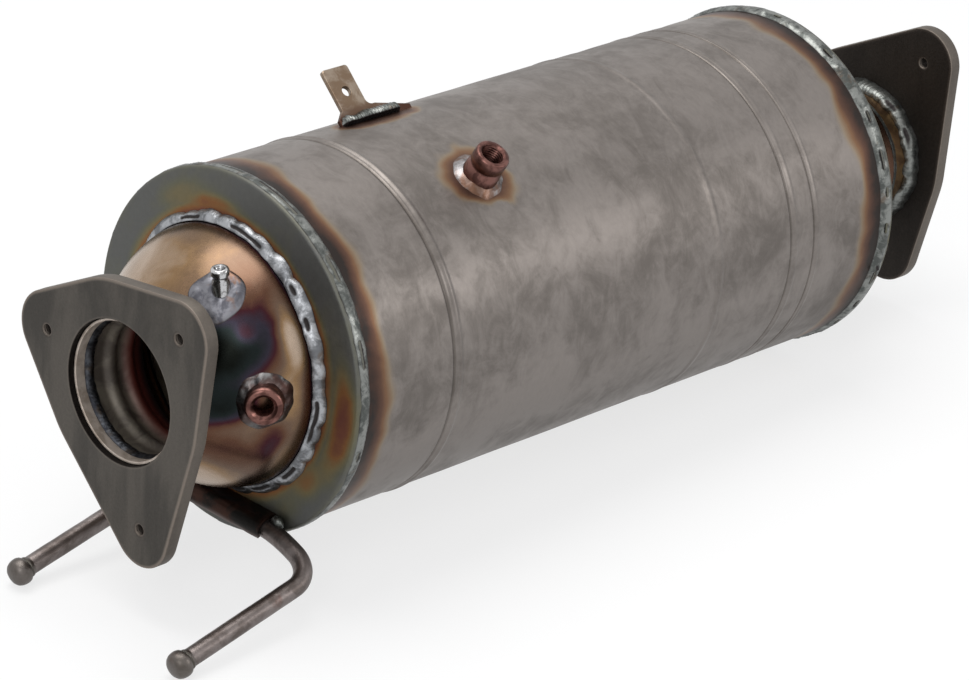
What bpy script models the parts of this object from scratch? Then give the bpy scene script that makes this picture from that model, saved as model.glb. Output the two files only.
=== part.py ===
"""Diesel particulate filter: a welded steel canister with two bell cones, two
three-bolt flanges, a sensor boss, a probe boss, a pressure stub and a rod hanger.

Metres. +X is the gas flow, +Z is up at the canister, and the origin is where the
canister's axis meets the inlet flange's outer face. Angles round the axis start
at -Y and rise towards +Z.
"""
from math import atan2, cos, pi, radians, sin, sqrt, tan

import bmesh
import bpy
from mathutils import Matrix, Vector
from mathutils.geometry import convex_hull_2d, interpolate_bezier

MM = 0.001

# Fits
CLEARANCE = 0.3 * MM

# Flanges
FLANGE_THICKNESS = 8.0 * MM
FLANGE_HUB_RADIUS = 58.0 * MM
FLANGE_EAR_RADIUS = 20.5 * MM
FLANGE_EDGE_BEVEL = 0.8 * MM
FLANGE_HUB_SHARE = 0.5
STUD_HOLE_DIAMETER = 6.8 * MM

# Flange ears: angle round the canister's axis, and reach from it
INLET_LOW_EAR_ANGLE = -73.9
INLET_LOW_EAR_REACH = 74.4 * MM
INLET_NEAR_EAR_ANGLE = 45.1
INLET_NEAR_EAR_REACH = 59.2 * MM
INLET_FAR_EAR_ANGLE = 169.0
INLET_FAR_EAR_REACH = 56.7 * MM
OUTLET_HIGH_EAR_ANGLE = 56.4
OUTLET_HIGH_EAR_REACH = 74.0 * MM
OUTLET_LOW_EAR_ANGLE = -63.2
OUTLET_LOW_EAR_REACH = 64.0 * MM
OUTLET_FAR_EAR_ANGLE = 178.0
OUTLET_FAR_EAR_REACH = 58.0 * MM

# Pipework: the pipes sit below and beside the canister's axis
INLET_PIPE_DROP = 3.3 * MM
OUTLET_PIPE_DROP = 4.0 * MM
OUTLET_PIPE_ASIDE = 4.8 * MM
PIPE_RADIUS = 38.1 * MM
PIPE_WALL = 1.5 * MM
PIPE_RECESS = 3.3 * MM
INLET_SLEEVE_LENGTH = 5.9 * MM
SLEEVE_WELD_WIDTH = 4.0 * MM
SLEEVE_WELD_HEIGHT = 2.9 * MM
OUTLET_PIPE_EXPOSED = 19.3 * MM
OUTLET_PIPE_OVERLAP = 11.0 * MM

# Ribbed neck inside the inlet cone
NECK_WALL = 1.2 * MM
NECK_LENGTH = 34.5 * MM
NECK_LEAD = 4.2 * MM
RIB_COUNT = 2
RIB_PITCH = 12.0 * MM
RIB_HEIGHT = 2.4 * MM
RIB_POINTS = 4

# Bell cones
CONE_DEPTH = 64.4 * MM
CONE_WALL = 1.5 * MM
CONE_STEP = 25.85 * MM
CONE_COLLAR_LENGTH = 4.2 * MM
CONE_NECK_EASE = 11.5 * MM
CONE_BASE_EASE = 32.0 * MM
CONE_WELD_LEG = 5.6 * MM
CONE_WELD_REACH = 4.3 * MM
CONE_WELD_CROWN = 0.5 * MM
FLANGE_WELD_LEG = 4.4 * MM
FLANGE_WELD_REACH = 3.5 * MM
FLANGE_WELD_CROWN = 0.3 * MM
OUTLET_COLLAR_WIDTH = 8.6 * MM
OUTLET_COLLAR_HEIGHT = 6.0 * MM
OUTLET_COLLAR_CROWN = 1.1 * MM
PIPE_WELD_WIDTH = 4.5 * MM
PIPE_WELD_CROWN = 0.5 * MM

# Canister
SHELL_RADIUS = 95.45 * MM
SHELL_WALL = 1.5 * MM
CAP_THICKNESS = 2.0 * MM
CAP_LIP_WALL = 2.25 * MM
CAP_LIP_DEPTH = 5.5 * MM
CAP_CORNER_RADIUS = 1.8 * MM
CAP_OVERLAP = 3.6 * MM
CAP_WELD_WIDTH = 5.6 * MM
CAP_WELD_CROWN = 0.9 * MM

# Rolled swages on the shell: distance from its end, width, and height above it
FRONT_SWAGES = ((67.3 * MM, 3.0 * MM, -0.7 * MM), (71.6 * MM, 4.6 * MM, 1.1 * MM))
REAR_SWAGES = ((63.7 * MM, 2.8 * MM, -0.7 * MM), (82.7 * MM, 2.8 * MM, -0.7 * MM),
               (140.7 * MM, 4.4 * MM, 0.8 * MM))

# Ceramic monoliths and what packs them
MAT_THICKNESS = 4.45 * MM
CATALYST_LENGTH = 76.2 * MM
FILTER_LENGTH = 216.0 * MM
FRONT_SPACE = 19.3 * MM
SENSOR_SPACE = 55.8 * MM
REAR_SPACE = 42.7 * MM
RETAINER_WIDTH = 6.0 * MM
MAT_MARGIN = 4.0 * MM
CHANNEL_PITCH = 22.0 * MM
CHANNEL_WALL = 3.0 * MM
PLUG_DEPTH = 10.0 * MM
SKIN_THICKNESS = 4.0 * MM

# Bosses: share of the radius that is chamfered, and how far holes are drilled
BOSS_CHAMFER = 0.08
DRILL_REACH = 2.0

# Welds round bosses, as shares of their reach
BOSS_WELD_RISE = 0.55
BOSS_WELD_SINK = 0.2
BOSS_WELD_CROWN = 0.22

# Sensor boss on the shell
SHELL_BOSS_ANGLE = 60.0
SHELL_BOSS_RADIUS = 9.9 * MM
SHELL_BOSS_HEIGHT = 19.0 * MM
SHELL_BOSS_BORE = 12.4 * MM
SHELL_BOSS_WELD = 4.2 * MM

# Probe boss on the inlet cone
PROBE_BOSS_STATION = 29.4 * MM
PROBE_BOSS_ANGLE = 5.2
PROBE_BOSS_LEAN = 10.4
PROBE_BOSS_RADIUS = 10.2 * MM
PROBE_BOSS_HEIGHT = 10.0 * MM
PROBE_BOSS_BORE = 11.0 * MM
PROBE_BOSS_WELD = 3.6 * MM

# Pressure stub on the inlet cone
STUB_STATION = 31.3 * MM
STUB_ANGLE = 63.1
STUB_AIM = 90.0
STUB_LEAN = -25.6
STUB_RADIUS = 4.8 * MM
STUB_HEIGHT = 14.0 * MM
STUB_BORE = 5.6 * MM
STUB_GROOVE_WIDTH = 2.2 * MM
STUB_GROOVE_DEPTH = 0.8 * MM
STUB_WELD = 10.4 * MM

# Tab bracket on the crown
TAB_ANGLE = 106.0
TAB_LEAN = 31.0
TAB_THICKNESS = 3.0 * MM
TAB_WIDTH = 18.2 * MM
TAB_HEIGHT = 32.0 * MM
TAB_CORNER = 1.6 * MM
TAB_STATION = 100.9 * MM
TAB_HOLE_DIAMETER = 5.6 * MM
TAB_HOLE_DROP = 14.4 * MM
TAB_HEEL = 5.0 * MM
TAB_HEEL_HEIGHT = 6.4 * MM
TAB_FOOT_LENGTH = 27.0 * MM
TAB_FOOT_HEIGHT = 7.4 * MM
TAB_TOE_HEIGHT = 1.6 * MM
TAB_FILLET = 3.4 * MM
TAB_WELD_LENGTH = 41.0 * MM
TAB_WELD_REACH = 4.6 * MM
TAB_WELD_RISE = 2.3 * MM
TAB_WELD_CROWN = 1.2 * MM

# Rod hanger
ROD_RADIUS = 5.0 * MM
ROD_SPACING = 122.7 * MM
ROD_OFFSET = -18.2 * MM
ROD_INSET = 16.0 * MM
ROD_FLAT = 20.0 * MM
ROD_SAG = 5.6 * MM
ROD_BEND = 14.0 * MM
ARM_LENGTH = 97.5 * MM
ARM_DROOP = 13.8
KNOB_RADIUS = 7.85 * MM
KNOB_LENGTH = 9.0 * MM
KNOB_EDGE = 3.4 * MM
KNOB_NECK = 0.6 * MM

# Saddle that holds the rod against the inlet cap
SADDLE_WIDTH = 52.0 * MM
SADDLE_THICKNESS = 1.7 * MM
SADDLE_WRAP = 118.0
SADDLE_WELD_RADIUS = 4.2 * MM
SADDLE_WELD_RISE = 4.5 * MM
SADDLE_WELD_STAND = 1.7 * MM

# Facets
ROUND_STEPS = 32
PIPE_STEPS = 32
SMALL_STEPS = 16
ROD_SIDES = 10
ROD_STEPS = 6
BEND_POINTS = 7
BEND_HANDLE = 0.56
CONE_POINTS = 7
SADDLE_STEPS = 7
SHARP_ANGLE = 35.0
MERGE_DISTANCE = 1e-7

# Stations along the axis
INLET_FLANGE_BACK = FLANGE_THICKNESS
INLET_CAP_FACE = INLET_FLANGE_BACK + CONE_DEPTH
SHELL_START = INLET_CAP_FACE + CAP_THICKNESS + CLEARANCE
CATALYST_START = SHELL_START + FRONT_SPACE
CATALYST_END = CATALYST_START + CATALYST_LENGTH
FILTER_START = CATALYST_END + SENSOR_SPACE
FILTER_END = FILTER_START + FILTER_LENGTH
SHELL_END = FILTER_END + REAR_SPACE
OUTLET_CAP_FACE = SHELL_END + CLEARANCE + CAP_THICKNESS
OUTLET_CONE_END = OUTLET_CAP_FACE + CONE_DEPTH - CLEARANCE
OUTLET_FLANGE_FRONT = OUTLET_CONE_END + CLEARANCE + OUTLET_PIPE_EXPOSED
OUTLET_FLANGE_BACK = OUTLET_FLANGE_FRONT + FLANGE_THICKNESS
SENSOR_STATION = (CATALYST_END + FILTER_START) / 2

# Places on the inlet cone: distance from the cap, angle, aim and lean
PROBE_PLACE = (PROBE_BOSS_STATION, PROBE_BOSS_ANGLE, PROBE_BOSS_ANGLE, PROBE_BOSS_LEAN)
STUB_PLACE = (STUB_STATION, STUB_ANGLE, STUB_AIM, STUB_LEAN)

# Radii that follow from the fits
BORE_RADIUS = PIPE_RADIUS + CLEARANCE
NECK_RADIUS = PIPE_RADIUS - CLEARANCE
CONE_NECK_RADIUS = BORE_RADIUS + CONE_WALL
CONE_BASE_RADIUS = SHELL_RADIUS - CONE_STEP
CAP_HOLE_RADIUS = CONE_BASE_RADIUS - CAP_OVERLAP
SHELL_SEAT = SHELL_RADIUS + CLEARANCE
SHELL_BORE = SHELL_RADIUS - SHELL_WALL
CAP_LIP_RADIUS = SHELL_SEAT + CAP_LIP_WALL
PACKING_OUTER = SHELL_BORE - CLEARANCE
PACKING_INNER = PACKING_OUTER - MAT_THICKNESS
MONOLITH_RADIUS = PACKING_INNER - CLEARANCE

# Y and Z of each pipe's centre
INLET_PIPE_CENTRE = (0.0, -INLET_PIPE_DROP)
OUTLET_PIPE_CENTRE = (-OUTLET_PIPE_ASIDE, -OUTLET_PIPE_DROP)

# The rod's centre line beside the cap, and its depth under the axis
ROD_STATION = INLET_CAP_FACE - CLEARANCE - ROD_RADIUS
ROD_DEPTH = CAP_LIP_RADIUS - ROD_INSET

INLET_EARS = ((INLET_LOW_EAR_ANGLE, INLET_LOW_EAR_REACH), (INLET_NEAR_EAR_ANGLE, INLET_NEAR_EAR_REACH),
              (INLET_FAR_EAR_ANGLE, INLET_FAR_EAR_REACH))
OUTLET_EARS = ((OUTLET_HIGH_EAR_ANGLE, OUTLET_HIGH_EAR_REACH), (OUTLET_LOW_EAR_ANGLE, OUTLET_LOW_EAR_REACH),
               (OUTLET_FAR_EAR_ANGLE, OUTLET_FAR_EAR_REACH))

# Finish of each piece: colour, roughness and metallic
FINISHES = {
    "inlet_flange": ((0.075, 0.068, 0.060), 0.6, 1.0),
    "inlet_sleeve": ((0.15, 0.12, 0.09), 0.6, 1.0),
    "inlet_sleeve_weld": ((0.24, 0.26, 0.28), 0.45, 1.0),
    "inlet_flange_weld": ((0.35, 0.31, 0.27), 0.45, 1.0),
    "inlet_neck": ((0.16, 0.07, 0.05), 0.55, 1.0),
    "inlet_cone": ((0.30, 0.19, 0.13), 0.35, 1.0),
    "inlet_cone_weld": ((0.26, 0.25, 0.26), 0.45, 1.0),
    "inlet_end_cap": ((0.20, 0.17, 0.14), 0.42, 1.0),
    "inlet_cap_weld": ((0.27, 0.27, 0.28), 0.45, 1.0),
    "shell": ((0.27, 0.25, 0.22), 0.4, 1.0),
    "oxidation_catalyst": ((0.30, 0.25, 0.18), 0.9, 0.0),
    "catalyst_mat": ((0.75, 0.72, 0.66), 0.95, 0.0),
    "filter_monolith": ((0.16, 0.15, 0.15), 0.95, 0.0),
    "filter_mat": ((0.75, 0.72, 0.66), 0.95, 0.0),
    "filter_front_retainer": ((0.45, 0.44, 0.42), 0.5, 1.0),
    "filter_rear_retainer": ((0.45, 0.44, 0.42), 0.5, 1.0),
    "shell_sensor_boss": ((0.22, 0.10, 0.07), 0.35, 1.0),
    "shell_boss_weld": ((0.45, 0.44, 0.43), 0.4, 1.0),
    "probe_boss": ((0.24, 0.10, 0.07), 0.35, 1.0),
    "probe_boss_weld": ((0.24, 0.17, 0.13), 0.45, 1.0),
    "pressure_stub": ((0.50, 0.48, 0.45), 0.3, 1.0),
    "stub_weld": ((0.40, 0.38, 0.37), 0.4, 1.0),
    "tab_bracket": ((0.24, 0.17, 0.11), 0.5, 1.0),
    "tab_weld": ((0.30, 0.29, 0.28), 0.45, 1.0),
    "hanger_rod": ((0.18, 0.16, 0.14), 0.5, 1.0),
    "hanger_saddle": ((0.12, 0.09, 0.08), 0.55, 1.0),
    "hanger_weld_left": ((0.25, 0.24, 0.24), 0.45, 1.0),
    "hanger_weld_right": ((0.25, 0.24, 0.24), 0.45, 1.0),
    "outlet_end_cap": ((0.20, 0.17, 0.14), 0.42, 1.0),
    "outlet_cap_weld": ((0.27, 0.27, 0.28), 0.45, 1.0),
    "outlet_cone": ((0.26, 0.18, 0.13), 0.38, 1.0),
    "outlet_cone_weld": ((0.26, 0.25, 0.26), 0.45, 1.0),
    "outlet_pipe": ((0.36, 0.28, 0.17), 0.35, 1.0),
    "outlet_pipe_weld": ((0.30, 0.27, 0.23), 0.45, 1.0),
    "outlet_flange_weld": ((0.38, 0.31, 0.20), 0.4, 1.0),
    "outlet_flange": ((0.070, 0.062, 0.055), 0.6, 1.0),
}


def remove_everything():
    for thing in list(bpy.data.objects):
        bpy.data.objects.remove(thing, do_unlink=True)


def finish(name):
    """The Principled material of one piece."""
    color, roughness, metallic = FINISHES[name]
    material = bpy.data.materials.new(name + "_finish")
    material.use_nodes = True
    shader = material.node_tree.nodes["Principled BSDF"]
    shader.inputs["Base Color"].default_value = (*color, 1.0)
    shader.inputs["Roughness"].default_value = roughness
    shader.inputs["Metallic"].default_value = metallic
    material.diffuse_color = (*color, 1.0)
    return material


def add_object(name, bm, place=None):
    """Turn a bmesh into a named object with outward faces. A piece has a finish,
    and a cutter has none."""
    bmesh.ops.remove_doubles(bm, verts=bm.verts, dist=MERGE_DISTANCE)
    bmesh.ops.recalc_face_normals(bm, faces=bm.faces)
    mesh = bpy.data.meshes.new(name)
    bm.to_mesh(mesh)
    bm.free()
    mesh.shade_smooth()
    mesh.set_sharp_from_angle(angle=radians(SHARP_ANGLE))
    thing = bpy.data.objects.new(name, mesh)
    bpy.context.collection.objects.link(thing)
    if place is not None:
        thing.matrix_world = place
    if name in FINISHES:
        mesh.materials.append(finish(name))
    return thing


def as_cutter(thing):
    """Keep a shape as a boolean tool only."""
    thing.hide_render = True
    thing.display_type = "WIRE"
    return thing


def cut(thing, *cutters):
    """Take cutters out of an object, then mark its new edges sharp."""
    for cutter in cutters:
        step = thing.modifiers.new("cut_" + cutter.name, "BOOLEAN")
        step.operation = "DIFFERENCE"
        step.solver = "EXACT"
        step.object = cutter
    bpy.context.view_layer.update()
    graph = bpy.context.evaluated_depsgraph_get()
    shaped = bpy.data.meshes.new_from_object(thing.evaluated_get(graph))
    thing.modifiers.clear()
    thing.data = shaped
    shaped.shade_smooth()
    shaped.set_sharp_from_angle(angle=radians(SHARP_ANGLE))
    return thing


def polar(angle, radius):
    """Y and Z of a point round the axis."""
    turn = radians(angle)
    return -radius * cos(turn), radius * sin(turn)


def radial(angle):
    """The outward direction at an angle round the axis."""
    return Vector((0.0, *polar(angle, 1.0)))


def axes(along, up, out):
    """The rotation that turns local X, Y and Z to three directions."""
    return Matrix((along, up, out)).transposed().to_4x4()


def pointing(start, direction):
    """A placement whose local X runs along a direction."""
    turn = Vector((1.0, 0.0, 0.0)).rotation_difference(direction)
    return Matrix.Translation(start) @ turn.to_matrix().to_4x4()


def on_pipe(centre):
    """A placement that moves a turned piece onto a pipe's centre."""
    return Matrix.Translation((0.0, *centre))


def turned(name, profile, steps=ROUND_STEPS, place=None, solid=False):
    """Spin a profile of (x, radius) points about X, into a ring, or into a
    solid with a flat face at each end."""
    bm = bmesh.new()
    points = [bm.verts.new((x, -radius, 0.0)) for x, radius in profile]
    edges = [bm.edges.new(pair) for pair in zip(points, points[1:])]
    if not solid:
        edges.append(bm.edges.new((points[-1], points[0])))
    bmesh.ops.spin(bm, geom=points + edges, cent=(0.0, 0.0, 0.0), axis=(1.0, 0.0, 0.0),
                   angle=2 * pi, steps=steps, use_merge=True)
    if solid:
        bmesh.ops.remove_doubles(bm, verts=bm.verts, dist=MERGE_DISTANCE)
        bmesh.ops.holes_fill(bm, edges=[edge for edge in bm.edges if edge.is_boundary])
    return add_object(name, bm, place)


def tube(name, start, end, inner, outer, steps=ROUND_STEPS, place=None):
    """A plain ring between two stations and two radii."""
    return turned(name, ((start, inner), (start, outer), (end, outer), (end, inner)), steps, place)


def extruded(name, outline, depth, place=None):
    """Raise a closed outline of (u, v) points along local Z, both ways from zero."""
    bm = bmesh.new()
    face = bm.faces.new([bm.verts.new((u, v, -depth / 2)) for u, v in outline])
    grown = bmesh.ops.extrude_face_region(bm, geom=[face])
    moved = [item for item in grown["geom"] if isinstance(item, bmesh.types.BMVert)]
    bmesh.ops.translate(bm, verts=moved, vec=(0.0, 0.0, depth))
    return add_object(name, bm, place)


def swept(name, path, radii, sides=ROD_SIDES):
    """A round bar along a path, with a radius at each point and closed ends."""
    bm = bmesh.new()
    rings = []
    side = Vector((0.0, 0.0, 1.0))
    for index, point in enumerate(path):
        before = path[max(index - 1, 0)]
        after = path[min(index + 1, len(path) - 1)]
        along = (after - before).normalized()
        side = (side - along * side.dot(along)).normalized()
        across = along.cross(side)
        ring = []
        for step in range(sides):
            turn = 2 * pi * step / sides
            ring.append(bm.verts.new(point + (side * cos(turn) + across * sin(turn)) * radii[index]))
        rings.append(ring)
    for ring, following in zip(rings, rings[1:]):
        for step in range(sides):
            corner = (step + 1) % sides
            bm.faces.new((ring[step], ring[corner], following[corner], following[step]))
    bm.faces.new(rings[0])
    bm.faces.new(rings[-1])
    return add_object(name, bm)


def arc(centre, radius, turns):
    """Points of an arc, at angles in degrees."""
    return [(centre[0] + radius * cos(radians(turn)), centre[1] + radius * sin(radians(turn)))
            for turn in turns]


def bead(root, toe_a, toe_b, crown, points=3):
    """The section of a fillet weld: its root and a bulging face between two toes."""
    root, toe_a, toe_b = Vector(root), Vector(toe_a), Vector(toe_b)
    outward = ((toe_a + toe_b) / 2 - root).normalized()
    section = [root]
    for step in range(points):
        t = step / (points - 1)
        section.append(toe_a.lerp(toe_b, t) + outward * crown * 4 * t * (1 - t))
    return [tuple(point) for point in section]


def mirrored(section, face, direction):
    """Place a section measured from a face, inwards or outwards along X."""
    return [(face + direction * x, radius) for x, radius in section]


def offset_curve(points, distance):
    """Shift a profile curve along its own normal, away from the axis."""
    shifted = []
    for index, point in enumerate(points):
        before = Vector(points[max(index - 1, 0)])
        after = Vector(points[min(index + 1, len(points) - 1)])
        along = (after - before).normalized()
        normal = Vector((-along.y, along.x))
        if normal.y < 0:
            normal.negate()
        moved = Vector(point) + normal * distance
        shifted.append((moved.x, moved.y))
    return shifted


def flange_outline(ears, centre):
    """The hull of a hub and three ears, as Y and Z points. The hub lies between
    the canister's axis and the pipe's centre."""
    rims = [(centre[0] * FLANGE_HUB_SHARE, centre[1] * FLANGE_HUB_SHARE, FLANGE_HUB_RADIUS)]
    rims += [(*polar(angle, reach), FLANGE_EAR_RADIUS) for angle, reach in ears]
    cloud = []
    for centre_y, centre_z, radius in rims:
        for step in range(PIPE_STEPS):
            angle = 2 * pi * step / PIPE_STEPS
            cloud.append(Vector((centre_y + radius * cos(angle), centre_z + radius * sin(angle))))
    return [cloud[index] for index in convex_hull_2d(cloud)]


def flange(name, front, ears, centre):
    """A flange plate with a bevelled rim, a pipe bore and three stud holes."""
    bm = bmesh.new()
    face = bm.faces.new([bm.verts.new((front, point.x, point.y)) for point in flange_outline(ears, centre)])
    grown = bmesh.ops.extrude_face_region(bm, geom=[face])
    moved = [item for item in grown["geom"] if isinstance(item, bmesh.types.BMVert)]
    bmesh.ops.translate(bm, verts=moved, vec=(FLANGE_THICKNESS, 0.0, 0.0))
    rim = [edge for edge in bm.edges if abs(edge.verts[0].co.x - edge.verts[1].co.x) < FLANGE_THICKNESS / 2]
    bmesh.ops.bevel(bm, geom=rim, offset=FLANGE_EDGE_BEVEL, segments=1, affect="EDGES")
    plate = add_object(name, bm)
    start, depth = front - FLANGE_THICKNESS / 2, 2 * FLANGE_THICKNESS
    drills = [drill_cutter(name + "_bore", BORE_RADIUS, depth, Matrix.Translation((start, *centre)),
                           PIPE_STEPS)]
    for number, (angle, reach) in enumerate(ears, start=1):
        drills.append(drill_cutter(f"{name}_stud_hole_{number}", STUD_HOLE_DIAMETER / 2, depth,
                                   Matrix.Translation((start, *polar(angle, reach)))))
    return cut(plate, *drills)


def drill_cutter(name, radius, depth, place, steps=SMALL_STEPS):
    """A round cutter that runs along local X from its placement."""
    return as_cutter(turned(name, ((0.0, radius), (depth, radius)), steps=steps, place=place, solid=True))


def drill_through(name, spot, way, diameter):
    """A round cutter that runs both ways from a point, a few diameters deep."""
    reach = DRILL_REACH * diameter
    return drill_cutter(name, diameter / 2, 2 * reach, pointing(spot - way * reach, way))


def cone_curve():
    """The bell's outer profile from the cap outwards: distance from the cap's
    face, and radius."""
    base = Vector((CLEARANCE, CONE_BASE_RADIUS))
    neck = Vector((CONE_DEPTH - CLEARANCE - CONE_COLLAR_LENGTH, CONE_NECK_RADIUS))
    base_handle = base + Vector((CONE_BASE_EASE, 0.0))
    neck_handle = neck - Vector((CONE_NECK_EASE, 0.0))
    curve = interpolate_bezier(base, base_handle, neck_handle, neck, CONE_POINTS)
    end = (CONE_DEPTH - CLEARANCE, CONE_NECK_RADIUS)
    return [(point[0], point[1]) for point in curve] + [end]


def cone_shift(reach, centre):
    """Y and Z of the bell's middle at a distance from its cap. It eases from the
    canister's axis to the pipe's centre."""
    t = min(max(reach / (CONE_DEPTH - CONE_COLLAR_LENGTH - CLEARANCE), 0.0), 1.0)
    share = t * t * (3 - 2 * t)
    return centre[0] * share, centre[1] * share


def eccentric(thing, face, centre):
    """Move each section of a turned bell onto its own middle."""
    for vertex in thing.data.vertices:
        y, z = cone_shift(abs(vertex.co.x - face), centre)
        vertex.co += Vector((0.0, y, z))
    return thing


def cone_place(station, angle, aim, lean):
    """The point of the inlet cone's skin at a distance from the cap, and a
    direction that leans from the skin's slope there towards the flange."""
    curve = cone_curve()
    low, high = next(pair for pair in zip(curve, curve[1:]) if pair[0][0] <= station <= pair[1][0])
    share = (station - low[0]) / (high[0] - low[0])
    radius = low[1] + (high[1] - low[1]) * share
    spot = Vector((INLET_CAP_FACE - station, *polar(angle, radius)))
    spot += Vector((0.0, *cone_shift(station, INLET_PIPE_CENTRE)))
    tilt = atan2(low[1] - high[1], high[0] - low[0]) + radians(lean)
    way = radial(aim) * cos(tilt) - Vector((1.0, 0.0, 0.0)) * sin(tilt)
    return spot, way


def build_flanges():
    flange("inlet_flange", 0.0, INLET_EARS, INLET_PIPE_CENTRE)
    flange("outlet_flange", OUTLET_FLANGE_FRONT, OUTLET_EARS, OUTLET_PIPE_CENTRE)


def build_inlet_pipework():
    place = on_pipe(INLET_PIPE_CENTRE)
    inner = PIPE_RADIUS - PIPE_WALL
    sleeve_end = PIPE_RECESS + INLET_SLEEVE_LENGTH
    tube("inlet_sleeve", PIPE_RECESS, sleeve_end, inner, PIPE_RADIUS, PIPE_STEPS, place)

    weld_start = sleeve_end + CLEARANCE
    weld_end = weld_start + SLEEVE_WELD_WIDTH
    crown = PIPE_RADIUS - SLEEVE_WELD_HEIGHT
    turned("inlet_sleeve_weld", ((weld_start, PIPE_RADIUS), (weld_end, PIPE_RADIUS),
                                 (weld_end, inner), ((weld_start + weld_end) / 2, crown),
                                 (weld_start, inner)), PIPE_STEPS, place)

    neck_start = weld_end + CLEARANCE
    rib_start = neck_start + NECK_LEAD
    samples = RIB_POINTS * RIB_COUNT
    stations = [neck_start] + [rib_start + RIB_PITCH * step / RIB_POINTS for step in range(samples + 1)]
    stations.append(neck_start + max(NECK_LENGTH, NECK_LEAD + RIB_COUNT * RIB_PITCH + NECK_WALL))
    outside = []
    for x in stations:
        ribbed = rib_start < x < rib_start + RIB_COUNT * RIB_PITCH
        dip = RIB_HEIGHT * (0.5 - 0.5 * cos(2 * pi * (x - rib_start) / RIB_PITCH)) if ribbed else 0.0
        outside.append((x, NECK_RADIUS - dip))
    inside = [(x, radius - NECK_WALL) for x, radius in reversed(outside)]
    turned("inlet_neck", outside + inside, PIPE_STEPS, place)


def build_cone(name, face, direction, centre):
    """A bell cone that stands on a cap and ends in a collar on the pipe."""
    outside = cone_curve()
    inside = offset_curve(outside, -CONE_WALL)
    inside[0] = (outside[0][0], outside[0][1] - CONE_WALL)
    inside[-1] = (outside[-1][0], BORE_RADIUS)
    section = mirrored(outside + inside[::-1], face, direction)
    return eccentric(turned(name, section), face, centre)


def build_cones():
    inlet = build_cone("inlet_cone", INLET_CAP_FACE, -1.0, INLET_PIPE_CENTRE)
    build_cone("outlet_cone", OUTLET_CAP_FACE, 1.0, OUTLET_PIPE_CENTRE)
    for label, place, bore in (("probe", PROBE_PLACE, PROBE_BOSS_BORE), ("stub", STUB_PLACE, STUB_BORE)):
        spot, way = cone_place(*place)
        cut(inlet, drill_through(f"cone_{label}_hole", spot, way, bore))


def build_cone_welds():
    base = CONE_BASE_RADIUS + CLEARANCE
    section = bead((CLEARANCE, base), (CONE_WELD_LEG, base), (CLEARANCE, base + CONE_WELD_REACH),
                   CONE_WELD_CROWN)
    for name, face, direction, centre in (("inlet_cone_weld", INLET_CAP_FACE, -1.0, INLET_PIPE_CENTRE),
                                          ("outlet_cone_weld", OUTLET_CAP_FACE, 1.0, OUTLET_PIPE_CENTRE)):
        eccentric(turned(name, mirrored(section, face, direction)), face, centre)

    collar = CONE_NECK_RADIUS + CLEARANCE
    section = bead((CLEARANCE, collar), (FLANGE_WELD_LEG, collar), (CLEARANCE, collar + FLANGE_WELD_REACH),
                   FLANGE_WELD_CROWN)
    turned("inlet_flange_weld", mirrored(section, INLET_FLANGE_BACK, 1.0), PIPE_STEPS,
           on_pipe(INLET_PIPE_CENTRE))


def build_caps():
    corner = (CAP_CORNER_RADIUS, CAP_LIP_RADIUS - CAP_CORNER_RADIUS)
    section = [(0.0, CAP_HOLE_RADIUS)] + arc(corner, CAP_CORNER_RADIUS, (180, 150, 120, 90)) + [
        (CAP_LIP_DEPTH, CAP_LIP_RADIUS), (CAP_LIP_DEPTH, SHELL_SEAT),
        (CAP_THICKNESS, SHELL_SEAT), (CAP_THICKNESS, CAP_HOLE_RADIUS)]
    toe = CAP_LIP_DEPTH + CLEARANCE
    weld = bead((toe, SHELL_SEAT), (toe, CAP_LIP_RADIUS), (toe + CAP_WELD_WIDTH, SHELL_SEAT),
                CAP_WELD_CROWN)
    for side, face, direction in (("inlet", INLET_CAP_FACE, 1.0), ("outlet", OUTLET_CAP_FACE, -1.0)):
        turned(side + "_end_cap", mirrored(section, face, direction))
        turned(side + "_cap_weld", mirrored(weld, face, direction))


def shell_profile():
    """The shell's outside with its swages, then its plain bore."""
    swages = [(SHELL_START + place, width, height) for place, width, height in FRONT_SWAGES]
    swages += [(SHELL_END - place, width, height) for place, width, height in reversed(REAR_SWAGES)]
    outside = [(SHELL_START, SHELL_RADIUS)]
    for centre, width, height in swages:
        outside += [(centre - width / 2, SHELL_RADIUS), (centre, SHELL_RADIUS + height),
                    (centre + width / 2, SHELL_RADIUS)]
    outside.append((SHELL_END, SHELL_RADIUS))
    return outside + [(SHELL_END, SHELL_BORE), (SHELL_START, SHELL_BORE)]


def build_shell():
    shell = turned("shell", shell_profile())
    spot, way = shell_boss_place()
    cut(shell, drill_through("shell_sensor_hole", spot, way, SHELL_BOSS_BORE))


def shell_boss_place():
    """The point of the shell's skin under its sensor boss, and the way out."""
    way = radial(SHELL_BOSS_ANGLE)
    return Vector((SENSOR_STATION, 0.0, 0.0)) + way * SHELL_RADIUS, way


def shell_seat_cutter():
    """The shell's outside, a clearance larger, for what is welded onto it."""
    return as_cutter(turned("shell_seat", ((SHELL_START, SHELL_SEAT), (SHELL_END, SHELL_SEAT)), solid=True))


def cone_seat_cutter():
    """The inlet cone's outside, a clearance larger, for what is welded onto it."""
    section = mirrored(offset_curve(cone_curve(), CLEARANCE), INLET_CAP_FACE, -1.0)
    seat = turned("cone_seat", section, solid=True)
    return as_cutter(eccentric(seat, INLET_CAP_FACE, INLET_PIPE_CENTRE))


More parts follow.
